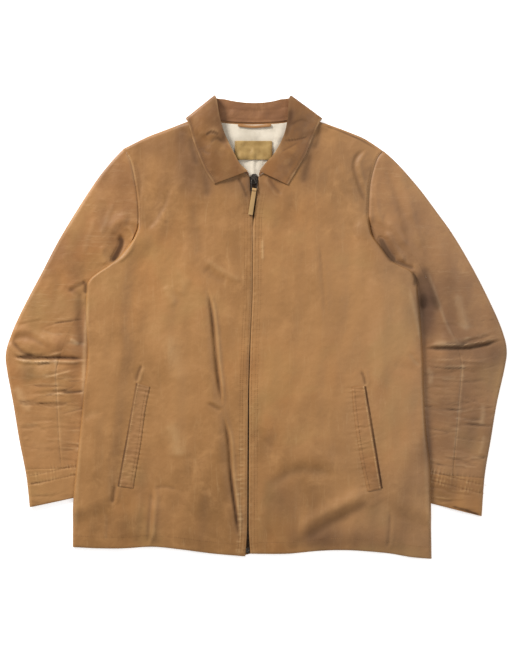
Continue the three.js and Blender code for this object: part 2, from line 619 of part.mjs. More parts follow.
// Lining behind the neck, with the label and the hanger loop on it.
const onBack = (p) => heightOn(backPanel.userData.behind, p);
const liningEdges = [
  smooth([[-32, 246], [-6, 246], [24, 246]]),
  smooth([[-72, 352.6], [-54, 347], [-6, 344.4], [44, 347], [62, 352.6]]),
];
const labelEdges = [
  smooth([[-36.2, 285.3], [26.7, 285.3]]),
  smooth([[-36.2, 316.7], [26.7, 316.7]]),
];
const loopEdges = [
  smooth([[-30, 340.3], [-3, 336.6], [25, 340.3]]),
  smooth([[-30, 344.3], [-3, 340.6], [25, 344.3]]),
];
const liningPanel = add("lining_neck", overlay(liningEdges, onBack, 0.5, CLOTH, [8, 8], 1), LINING, 0.8);
const onLining = (p) => heightOn(liningPanel.userData.grid, p);
add("label_patch", overlay(labelEdges, onLining, 0.4, 1.2, [5, 3], 1), LABEL, 0.6);
add("hanger_loop", overlay(loopEdges, onLining, 0.5, 1.2, [8, 1], 1), WORN_TAN);

// The zip's tapes lie under the front edges, with the chain between them.
const tapeTop = (y) => frontTop(new THREE.Vector2(zipX(y), y)) - LEATHER - 2 * SEAM_GAP;
const CHAIN_ENDS = [-375, 253.5];

function ribbon(fromX, toX, y0, y1, top, depth, count) {
  const grid = steps(count, y0, y1).map((y) => steps(1, fromX, toX).map((x) =>
    new THREE.Vector3(zipX(y) + x, y, top(y))));
  return wall(grid, depth, 1);
}

const tapeInner = CHAIN_WIDTH / 2 + SEAM_GAP;
add("zip_tape_right", ribbon(-TAPE_WIDTH, -tapeInner, -379, 256, tapeTop, TAPE, 20), TAPE_BROWN, 0.8);
add("zip_tape_left", ribbon(tapeInner, TAPE_WIDTH, -379, 256, tapeTop, TAPE, 20), TAPE_BROWN, 0.8);
const chainRibbon = ribbon(-CHAIN_WIDTH / 2, CHAIN_WIDTH / 2, ...CHAIN_ENDS, tapeTop, CHAIN_DEPTH, 20);
add("zip_teeth", chainRibbon, METAL, 0.4, 0.8);

// Hard pieces of the zip, joined from simple solids.
const { Manifold, CrossSection, setup } = await Module().then((module) => {
  module.setup();
  return module;
});

function block([x, y, z], [dx, dy, dz]) {
  return Manifold.cube([dx, dy, dz], true).translate([x, y, z]);
}

function fromManifold(solid) {
  const { vertProperties, triVerts, numProp } = solid.getMesh();
  const points = [];
  for (let i = 0; i < vertProperties.length; i += numProp)
    points.push(new THREE.Vector3(...vertProperties.subarray(i, i + 3)));
  const geometry = new THREE.BufferGeometry().setFromPoints(points);
  geometry.setIndex([...triVerts]);
  geometry.computeVertexNormals();
  return geometry;
}

// A rod's outline, drawn in its side view and as wide as the rod is long in X.
function sideways(outline, width) {
  return CrossSection.ofPolygons([outline]).extrude(width, 0, 0, [1, 1], true).rotate([90, 0, 90]);
}

const chainTop = tapeTop(SLIDER.y);
const plateTop = chainTop + SEAM_GAP + SLIDER.plate;
const plateFoot = chainTop - CHAIN_DEPTH - SEAM_GAP - SLIDER.plate;

function slider() {
  const half = SLIDER.width / 2;
  const end = SLIDER.length / 2;
  const outline = [[-half + 1, -end], [half - 1, -end], [half - 0.6, -1], [half, 3], [half, end - 2],
    [half - 2, end], [-half + 2, end], [-half, end - 2], [-half, 3], [-half + 0.6, -1]];
  const plate = CrossSection.ofPolygons([outline]).extrude(SLIDER.plate).translate([SLIDER.x, SLIDER.y, 0]);
  const postY = SLIDER.y + end - 3;
  const post = block([SLIDER.x, postY, (plateFoot + plateTop) / 2], [3, 4.4, plateTop - plateFoot - 0.4]);
  const arch = block([SLIDER.x, BAIL.top, plateTop + 1.5], [3, 9, 3.6])
    .subtract(block([SLIDER.x, BAIL.top, plateTop + 1.2], [4, 5.6, 2.4]));
  const plates = [plateFoot, plateTop - SLIDER.plate].map((z) => plate.translate([0, 0, z]));
  return Manifold.union([...plates, post, arch]);
}

add("zip_slider", fromManifold(slider()), METAL, 0.35, 0.9);

const endY = CHAIN_ENDS[0] - 5.5;
const endBox = block([zipX(endY), endY, tapeTop(endY) - 0.4], [5.2, 9, 3]);
add("zip_end_box", fromManifold(endBox), METAL, 0.35, 0.9);

// The bail turns in the slider's arch, and the leather pull hangs on its far bar.
const hinge = new THREE.Vector3(SLIDER.x, BAIL.top, plateTop + 1.15);
const bailLength = Math.hypot(BAIL.top - BAIL.foot, BAIL.lift);
const bailOuter = block([0, -bailLength / 2, 0], [BAIL.width, bailLength + BAIL.wire, BAIL.wire]);
const bailInner = block([0, -bailLength / 2, 0],
  [BAIL.width - 2 * BAIL.wire, bailLength - BAIL.wire, 2 * BAIL.wire]);
const bailTilt = -THREE.MathUtils.radToDeg(Math.atan2(BAIL.lift, BAIL.top - BAIL.foot));
const bail = bailOuter.subtract(bailInner).rotate([bailTilt, 0, 0]).translate(hinge.toArray());
add("pull_bail", fromManifold(bail), METAL, 0.35, 0.9, pull);

function pullTab() {
  const loop = CrossSection.circle(2.9, 20);
  const strap = CrossSection.ofPolygons([[[-PULL.length, -PULL.thickness / 2], [0, -PULL.thickness / 2],
    [0, PULL.thickness / 2], [-PULL.length, PULL.thickness / 2]]]);
  const profile = loop.add(strap).subtract(CrossSection.circle(1.8, 16));
  return profile.extrude(PULL.width, 0, 0, [1, 1], true).rotate([90, 0, 90]);
}

const pullFall = THREE.MathUtils.radToDeg(Math.atan(PULL.fall));
add("pull_tab", fromManifold(pullTab().rotate([pullFall, 0, 0]).rotate([0, 0, -PULL.lean])
  .translate([SLIDER.x, BAIL.foot, hinge.z + BAIL.lift])), WORN_TAN, 0.5, 0, pull);
jacket.add(pull);

// The frame's origin is under the middle of the whole.
const size = new THREE.Box3().setFromObject(jacket);
const middle = size.getCenter(new THREE.Vector3());
jacket.position.set(-middle.x, -middle.y, -size.min.z);

export default jacket;
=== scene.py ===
"""A worn tan leather jacket with a zip front and a shirt collar, laid flat on its back.

Shapes are worked out in millimetres, from the same named sizes and outlines as the solids,
and turned to metres where each mesh is made. The wearer's right is at -X.
"""

import json
import math

import bmesh
import bpy
import numpy as np
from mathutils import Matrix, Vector
from mathutils.bvhtree import BVHTree

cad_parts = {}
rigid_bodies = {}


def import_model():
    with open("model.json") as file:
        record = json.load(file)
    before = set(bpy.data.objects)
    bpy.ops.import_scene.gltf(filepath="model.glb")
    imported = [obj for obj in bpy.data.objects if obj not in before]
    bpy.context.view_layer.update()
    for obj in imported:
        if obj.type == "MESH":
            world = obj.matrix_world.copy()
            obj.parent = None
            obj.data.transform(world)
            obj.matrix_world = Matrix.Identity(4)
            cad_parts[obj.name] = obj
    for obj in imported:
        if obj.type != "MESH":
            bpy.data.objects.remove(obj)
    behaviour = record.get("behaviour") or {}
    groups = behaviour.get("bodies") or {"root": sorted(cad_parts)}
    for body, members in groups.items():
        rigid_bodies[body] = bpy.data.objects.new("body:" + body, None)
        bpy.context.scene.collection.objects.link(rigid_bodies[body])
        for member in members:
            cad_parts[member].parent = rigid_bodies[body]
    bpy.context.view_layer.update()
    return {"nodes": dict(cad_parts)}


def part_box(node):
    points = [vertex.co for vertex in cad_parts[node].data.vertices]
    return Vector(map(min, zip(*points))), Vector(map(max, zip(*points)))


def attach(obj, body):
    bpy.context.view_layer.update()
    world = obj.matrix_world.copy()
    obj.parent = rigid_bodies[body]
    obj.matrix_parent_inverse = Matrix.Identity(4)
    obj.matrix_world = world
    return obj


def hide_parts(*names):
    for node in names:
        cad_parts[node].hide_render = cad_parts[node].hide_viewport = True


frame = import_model()
scene = bpy.context.scene


def placed(name, data):
    """A new object in the scene, at the origin."""
    obj = bpy.data.objects.new(name, data)
    scene.collection.objects.link(obj)
    return obj


# Camera: straight above, with the frame's width at the height of the leather.
SEEN_WIDTH = 0.8721
SEEN_MIDDLE = (0.0015, -0.0004)
LEATHER_LEVEL = 0.007
CAMERA_HEIGHT = 3.0
SENSOR_WIDTH = 36

camera = bpy.data.cameras.new("camera")
camera.type = "PERSP"
camera.sensor_fit = "HORIZONTAL"
camera.sensor_width = SENSOR_WIDTH
camera.lens = SENSOR_WIDTH * (CAMERA_HEIGHT - LEATHER_LEVEL) / SEEN_WIDTH
camera.clip_end = 20
camera_object = placed("camera", camera)
camera_object.location = (*SEEN_MIDDLE, CAMERA_HEIGHT)
scene.camera = camera_object

# Thicknesses, heights and edges, as in the solids.
LEATHER = 1.5
CLOTH = 1.0
TRIM = 1.2
TAPE = 1.0
SEAM_GAP = 0.3
BODY_HEIGHT = 7.0
HEM_HEIGHT = 5.4
SLEEVE_HEIGHT = 7.6
PRESSED_SLEEVE = 5.0
LEAST_HEIGHT = 4.8
NECK_RISE = 3.0
SLEEVE_LIFT = PRESSED_SLEEVE + 2 * SEAM_GAP
COLLAR_LIFT = LEATHER + SEAM_GAP
SLEEVE_RAMP = 30
COLLAR_RAMP = 14
EDGE_ROLL = 6
HEM_RAMP = 24
FALL_BEND = 5
STAND_BEND = 2.6
STAND_INSET = 2.4
ROLL_RISE = 2.0
STAND_TOP = LEATHER + SEAM_GAP
CHAIN_WIDTH = 5
CHAIN_DEPTH = 1.5
TAPE_WIDTH = 12
SLIDER_X, SLIDER_Y = -3.4, 252.1
SIDE_SHARE = 0.72
NECK_SHARE = 0.86
TURN_IN = 0.034
HIND_SEAM = 0.42

# What only this model has: a cuff as the photograph shows it, closed seams, and how far in
# from their edges the rows of stitches lie.
CUFF_LENGTH = 54
DEEPEST = 3.4
CLOSE_SEAM = 0.12
SEAM_FADE = 9
SMOOTH_ANGLE = 50
ZIP_ROWS = (3.6, 9.6, 13.8)
HEM_ROW = 20
ARMHOLE_ROW = 4.2
CUFF_ROWS = (1.2, 15.5)
WELT_ROW = 4.5
COLLAR_ROW = 5.5

RIGHT = {
    "outwards": -1,
    "shoulder": [(-87.2, 360.9), (-116.1, 350.7), (-163.7, 332.9), (-187.5, 323.5), (-224.9, 304.8)],
    "armhole": [(-210.1, 150.1), (-201.1, 175.6), (-202.8, 223.2), (-213, 279.3), (-224.9, 304.8)],
    "side": [(-312.8, -374), (-311.3, -291.9), (-302.1, -200.1), (-292.9, -108.3), (-287, -48.8),
             (-289.5, 12.4), (-289.5, 52), (-284, 80.7), (-248.2, 107.6), (-227.1, 127.2),
             (-210.1, 150.1)],
    "hem": [(-18.4, -389.8), (-71.9, -385.4), (-132.1, -377.7), (-177.3, -373.5), (-223.2, -376.2),
            (-269.1, -376.2), (-312.8, -374)],
    "neckline": [(-12.4, 257.2), (-53.2, 284.4), (-75.3, 318.4), (-87.2, 360.9)],
    "outerFold": [(-224.9, 304.8), (-250.4, 277.6), (-281, 236.8), (-332, 155.2), (-364.3, 94),
                  (-396.6, 32.8), (-415.3, -8), (-426.3, -44), (-423.8, -76), (-413.6, -130.4),
                  (-403.4, -191.6), (-391.5, -252.8), (-385.6, -306.3)],
    "innerFold": [(-210.1, 150.1), (-236, 100), (-243, 40), (-243, -8), (-240.2, -44),
                  (-247, -108.3), (-257.2, -169.5), (-264, -230.7), (-265.7, -280.8)],
    "frontSeam": [0.9, 0.58, 0.45, 0.46, 0.48],
    "roll": [(-14.1, 264.9), (-27.7, 277.6), (-36.2, 292.9), (-51.5, 323.5), (-60, 349),
             (-65.1, 369.4), (-71.1, 394.3)],
    "leafEdge": [(-71.9, 243.6), (-87.2, 267.4), (-97.4, 291.2), (-105.9, 313.3), (-112.7, 333.7),
                 (-120.5, 355.5)],
    "pocketMouth": [(-204.5, -94.3), (-220.1, -182), (-235.8, -269.8)],
    "pocketBack": [(-181.4, -101), (-189.2, -138.9), (-197, -197.5), (-206.5, -252.8),
                   (-209.5, -273.2)],
}
LEFT = {
    "outwards": 1,
    "shoulder": [(76, 360.9), (106.6, 350.7), (132.1, 342.2), (159.3, 332), (186.5, 320.1),
                 (217.1, 299.7)],
    "armhole": [(197, 159), (191.9, 186), (191.6, 207.9), (195, 248.7), (205.2, 284.4),
                (217.1, 299.7)],
    "side": [(298.7, -394.2), (297, -291.9), (295.3, -230.7), (288.5, -169.5), (285.1, -108.3),
             (283.4, -48.8), (280, 7.3), (275.5, 52), (268, 90.7), (234.1, 111), (206.9, 143.3),
             (197, 159)],
    "hem": [(-9.8, -385.4), (50.5, -385.4), (110, -380.3), (155.9, -379.4), (217.1, -383.7),
            (263, -391), (298.7, -394.2)],
    "neckline": [(4.6, 257.2), (47.1, 284.4), (67.5, 318.4), (76, 360.9)],
    "outerFold": [(217.1, 299.7), (240.9, 277.6), (276.6, 236.8), (307.2, 196), (336.1, 155.2),
                  (371.8, 94), (402.4, 32.8), (419.4, -8), (426.3, -38.6), (422.8, -69.2),
                  (409.2, -130.4), (399, -191.6), (388.8, -252.8), (383.7, -321.6)],
    "innerFold": [(197, 159), (215, 108), (223, 52), (225, 3.9), (223.9, -38.6), (230.7, -108.3),
                  (239.2, -169.5), (247.7, -230.7), (252.8, -288.5)],
    "frontSeam": [0.9, 0.44, 0.37, 0.36, 0.39],
    "roll": [(5.4, 264.9), (14.8, 277.6), (30.1, 294.6), (45.4, 321.8), (52.2, 347.3),
             (55.6, 372.8), (59, 394.3)],
    "leafEdge": [(53.9, 241.9), (74.3, 275.9), (84.5, 292.9), (94.7, 318.4), (103.2, 337.1),
                 (112.5, 355.5)],
    "pocketMouth": [(186.2, -100.1), (200.6, -186), (214.7, -273.2)],
    "pocketBack": [(163, -101.5), (165.8, -140.6), (171.7, -186.5), (179.5, -234.1),
                   (189.5, -279)],
}
SIDES = (("right", RIGHT), ("left", LEFT))
BACK_NECK = [(-87.2, 360.9), (-58.3, 349.9), (-6, 346.5), (50.2, 349.9), (76, 360.9)]
ROLL_BACK = [(-71.1, 394.3), (-44.7, 386.4), (-9, 382.2), (26.7, 384.7), (59, 394.3)]
FALL_BACK_EDGE = [(-120.5, 355.5), (-70.2, 339.5), (-6, 335.4), (57.3, 339.5), (112.5, 355.5)]
ZIP_LINE = [(-14.4, -386), (-14.1, -327.6), (-13.6, -208.6), (-12.8, -98.1), (-9.9, -13.1),
            (-6.8, 46.4), (-5.6, 165.4), (-3.9, 257.2)]
ZIP_GAP = [(-386, 4.3), (-368, 2), (-325, 1.3), (-180, 1.2), (-60, 0.7), (20, 0.3),
           (186, 0.3), (206, 2.4), (226, 6), (257.2, 8)]

# Curves, patches and distances over the plan.


def ease(t):
    t = np.clip(t, 0, 1)
    return t * t * (3 - 2 * t)


def mix(a, b, t):
    return a + (b - a) * t


def steps(count, first=0.0, last=1.0):
    return np.linspace(first, last, count + 1)


class Edge:
    """A smooth edge through plan points, read by its share of the length."""

    def __init__(self, points):
        self.points = np.array(points, float)
        self.places = np.linspace(0, 1, 401)
        line = self.spline(self.places)
        self.lengths = np.concatenate([[0], np.cumsum(np.hypot(*np.diff(line, axis=0).T))])

    def spline(self, place):
        last = len(self.points) - 1
        along = np.asarray(place) * last
        k = np.minimum(along.astype(int), last - 1)
        t = (along - k)[..., None]
        p0, p1, p2, p3 = [self.points[np.clip(k + step, 0, last)] for step in (-1, 0, 1, 2)]
        v0, v1 = (p2 - p0) / 2, (p3 - p1) / 2
        return ((2 * p1 - 2 * p2 + v0 + v1) * t ** 3 + (-3 * p1 + 3 * p2 - 2 * v0 - v1) * t ** 2
                + v0 * t + p1)

    def __call__(self, share):
        length = np.clip(share, 0, 1) * self.lengths[-1]
        return self.spline(np.interp(length, self.lengths, self.places))


def chain(*pieces):
    """Edges joined end to end; each takes its own share of the whole."""
    def at(t):
        t = np.asarray(t, float)
        line, start = None, 0
        for edge, share in pieces:
            part = edge(np.clip((t - start) / share, 0, 1))
            line = part if line is None else np.where((t > start)[..., None], part, line)
            start += share
        return line
    return at


def backwards(edge):
    return lambda t: edge(1 - np.asarray(t))


def patch(low, high, start, end):
    """A plan patch between four edges: low and high run with u, start and end with v."""
    corners = [low(0.0), low(1.0), high(0.0), high(1.0)]

    def at(u, v):
        u, v = np.broadcast_arrays(np.asarray(u, float), np.asarray(v, float))
        a, b = u[..., None], v[..., None]
        return (low(u) * (1 - b) + high(u) * b + start(v) * (1 - a) + end(v) * a
                - corners[0] * (1 - a) * (1 - b) - corners[1] * a * (1 - b)
                - corners[2] * (1 - a) * b - corners[3] * a * b)
    return at


def nearest(p, line):
    """Distance from plan points to a line, the share of the way along it, and the side."""
    x, y = p[..., 0], p[..., 1]
    best = np.full(x.shape, 1e9)
    share, side = np.zeros(x.shape), np.ones(x.shape)
    last = len(line) - 1
    for i in range(last):
        (ax, ay), (bx, by) = line[i], line[i + 1]
        dx, dy = bx - ax, by - ay
        t = np.clip(((x - ax) * dx + (y - ay) * dy) / (dx * dx + dy * dy + 1e-12), 0, 1)
        distance = np.hypot(x - ax - t * dx, y - ay - t * dy)
        closer = distance < best
        best = np.where(closer, distance, best)
        share = np.where(closer, (i + t) / last, share)
        side = np.where(closer, np.sign(dx * (y - ay) - dy * (x - ax)), side)
    return best, share, side


def outside(p, outline):
    """How far plan points lie outside a closed outline; 0 anywhere inside it."""
    x, y = p[..., 0], p[..., 1]
    inside = np.zeros(x.shape, bool)
    closed = np.vstack([outline, outline[:1]])
    for (ax, ay), (bx, by) in zip(closed[:-1], closed[1:]):
        if ay == by:
            continue
        crossing = (bx - ax) * (y - ay) / (by - ay) + ax
        inside ^= ((ay > y) != (by > y)) & (x < crossing)
    return np.where(inside, 0, nearest(p, closed)[0])


def look_up(pairs, place):
    return np.interp(place, [a for a, b in pairs], [b for a, b in pairs])


def zip_x(y):
    return look_up([(at, x) for x, at in ZIP_LINE], y)


for side in (RIGHT, LEFT):
    ys = steps(16, side["hem"][0][1], side["neckline"][0][1])
    zip_edge = np.column_stack([zip_x(ys) + side["outwards"] * look_up(ZIP_GAP, ys), ys])
    side["zipEdge"] = Edge(zip_edge)
    side["hemEdge"] = Edge([zip_edge[0], *side["hem"][1:]])
    side["neckEdge"] = Edge([zip_edge[-1], *side["neckline"][1:]])
    for name in ("shoulder", "armhole", "side", "outerFold", "innerFold", "roll", "leafEdge",
                 "pocketMouth", "pocketBack"):
        side[name + "Line"] = Edge(side[name])
    cuff_end = side["innerFold"][-1][1]
    body_side = side["sideLine"](steps(60))
    side["tucked"] = np.vstack([side["innerFoldLine"](steps(30)),
                                body_side[body_side[:, 1] > cuff_end - 26]])
    side["welt"] = np.vstack([side["pocketMouthLine"](steps(6)),
                              side["pocketBackLine"](steps(6))[::-1]])
    side["sideOf"] = chain((side["sideLine"], SIDE_SHARE), (side["armholeLine"], 1 - SIDE_SHARE))

COLLAR_BED = np.vstack([Edge(FALL_BACK_EDGE)(steps(12)), Edge(ROLL_BACK)(steps(12))[::-1]])

# Folds and creases, each through its own plan points.


def crease(path, height, width, bank=0.0, dark=0.0, rub=0.0):
    """A soft ridge, or a trough where height is negative.

    bank is a ridge beside it, on the left of the way along it where it is above 0.
    dark is how much painted shade lies in it. The last is how much paler the crest of its bank,
    or itself where it has no bank, is painted: partly wear and partly painted highlight.
    """
    line = Edge(path)(steps(20))
    return dict(line=line, height=height, width=width, bank=bank, dark=dark, rub=rub)


FOLDS = [crease(*row) for row in (
    # Right front.
    ([(-97, 75), (-90, 12), (-82, -73), (-74, -141), (-68, -200), (-58, -275), (-46, -350)], 3.4, 20),
    ([(-70, 60), (-62, -10), (-52, -90), (-44, -150), (-38, -220), (-34, -320)], -1.6, 18),
    ([(-130, 262), (-152, 200), (-178, 150), (-196, 130)], 1.8, 20),
    ([(-104, 232), (-96, 190), (-92, 130), (-60, 92)], -1.4, 18),
    ([(-157, 85), (-150, 40), (-158, -45), (-134, -110), (-150, -180), (-132, -235)], 2.2, 24),
    ([(-168, -292), (-182, -370)], 2.6, 20),
    ([(-232, -300), (-240, -362)], 1.6, 20),
    # Left front.
    ([(96, 150), (104, 80), (112, 0), (116, -60)], 1.8, 20),
    ([(20, -258), (60, -225), (110, -222), (150, -250)], 2, 22),
    ([(112, -352), (160, -330), (205, -306), (250, -280)], -1.8, 20),
    ([(120, -318), (165, -296), (212, -292)], 2.4, 18),
    ([(128, 300), (150, 250), (172, 190), (186, 140)], 2.2, 18),
    # Both side edges.
    ([(246, 50), (262, -20), (258, -90), (262, -200), (268, -330)], 2.2, 22),
    ([(-262, 20), (-266, -80), (-276, -200), (-286, -320)], 2.2, 22),
    # Armpits.
    ([(-252, 158), (-237, 178), (-214, 182)], 3.2, 16),
    ([(-232, 150), (-246, 118)], -2.2, 12),
    ([(214, 180), (236, 168), (252, 132)], 3.2, 16),
    ([(222, 146), (238, 118)], -2.2, 12),
    # Elbows.
    ([(-402, -34), (-360, -26), (-318, -30)], 2.6, 16),
    ([(-404, -72), (-360, -74), (-310, -78)], 2.4, 16),
    ([(304, -20), (350, -20), (402, -14)], 2.6, 16),
    ([(304, -62), (350, -62), (400, -56)], 2.4, 16),
    # Upper sleeves.
    ([(-290, 200), (-330, 110), (-366, 40)], 1.8, 22),
    ([(262, 215), (316, 120), (366, 30)], 1.8, 22),
)]

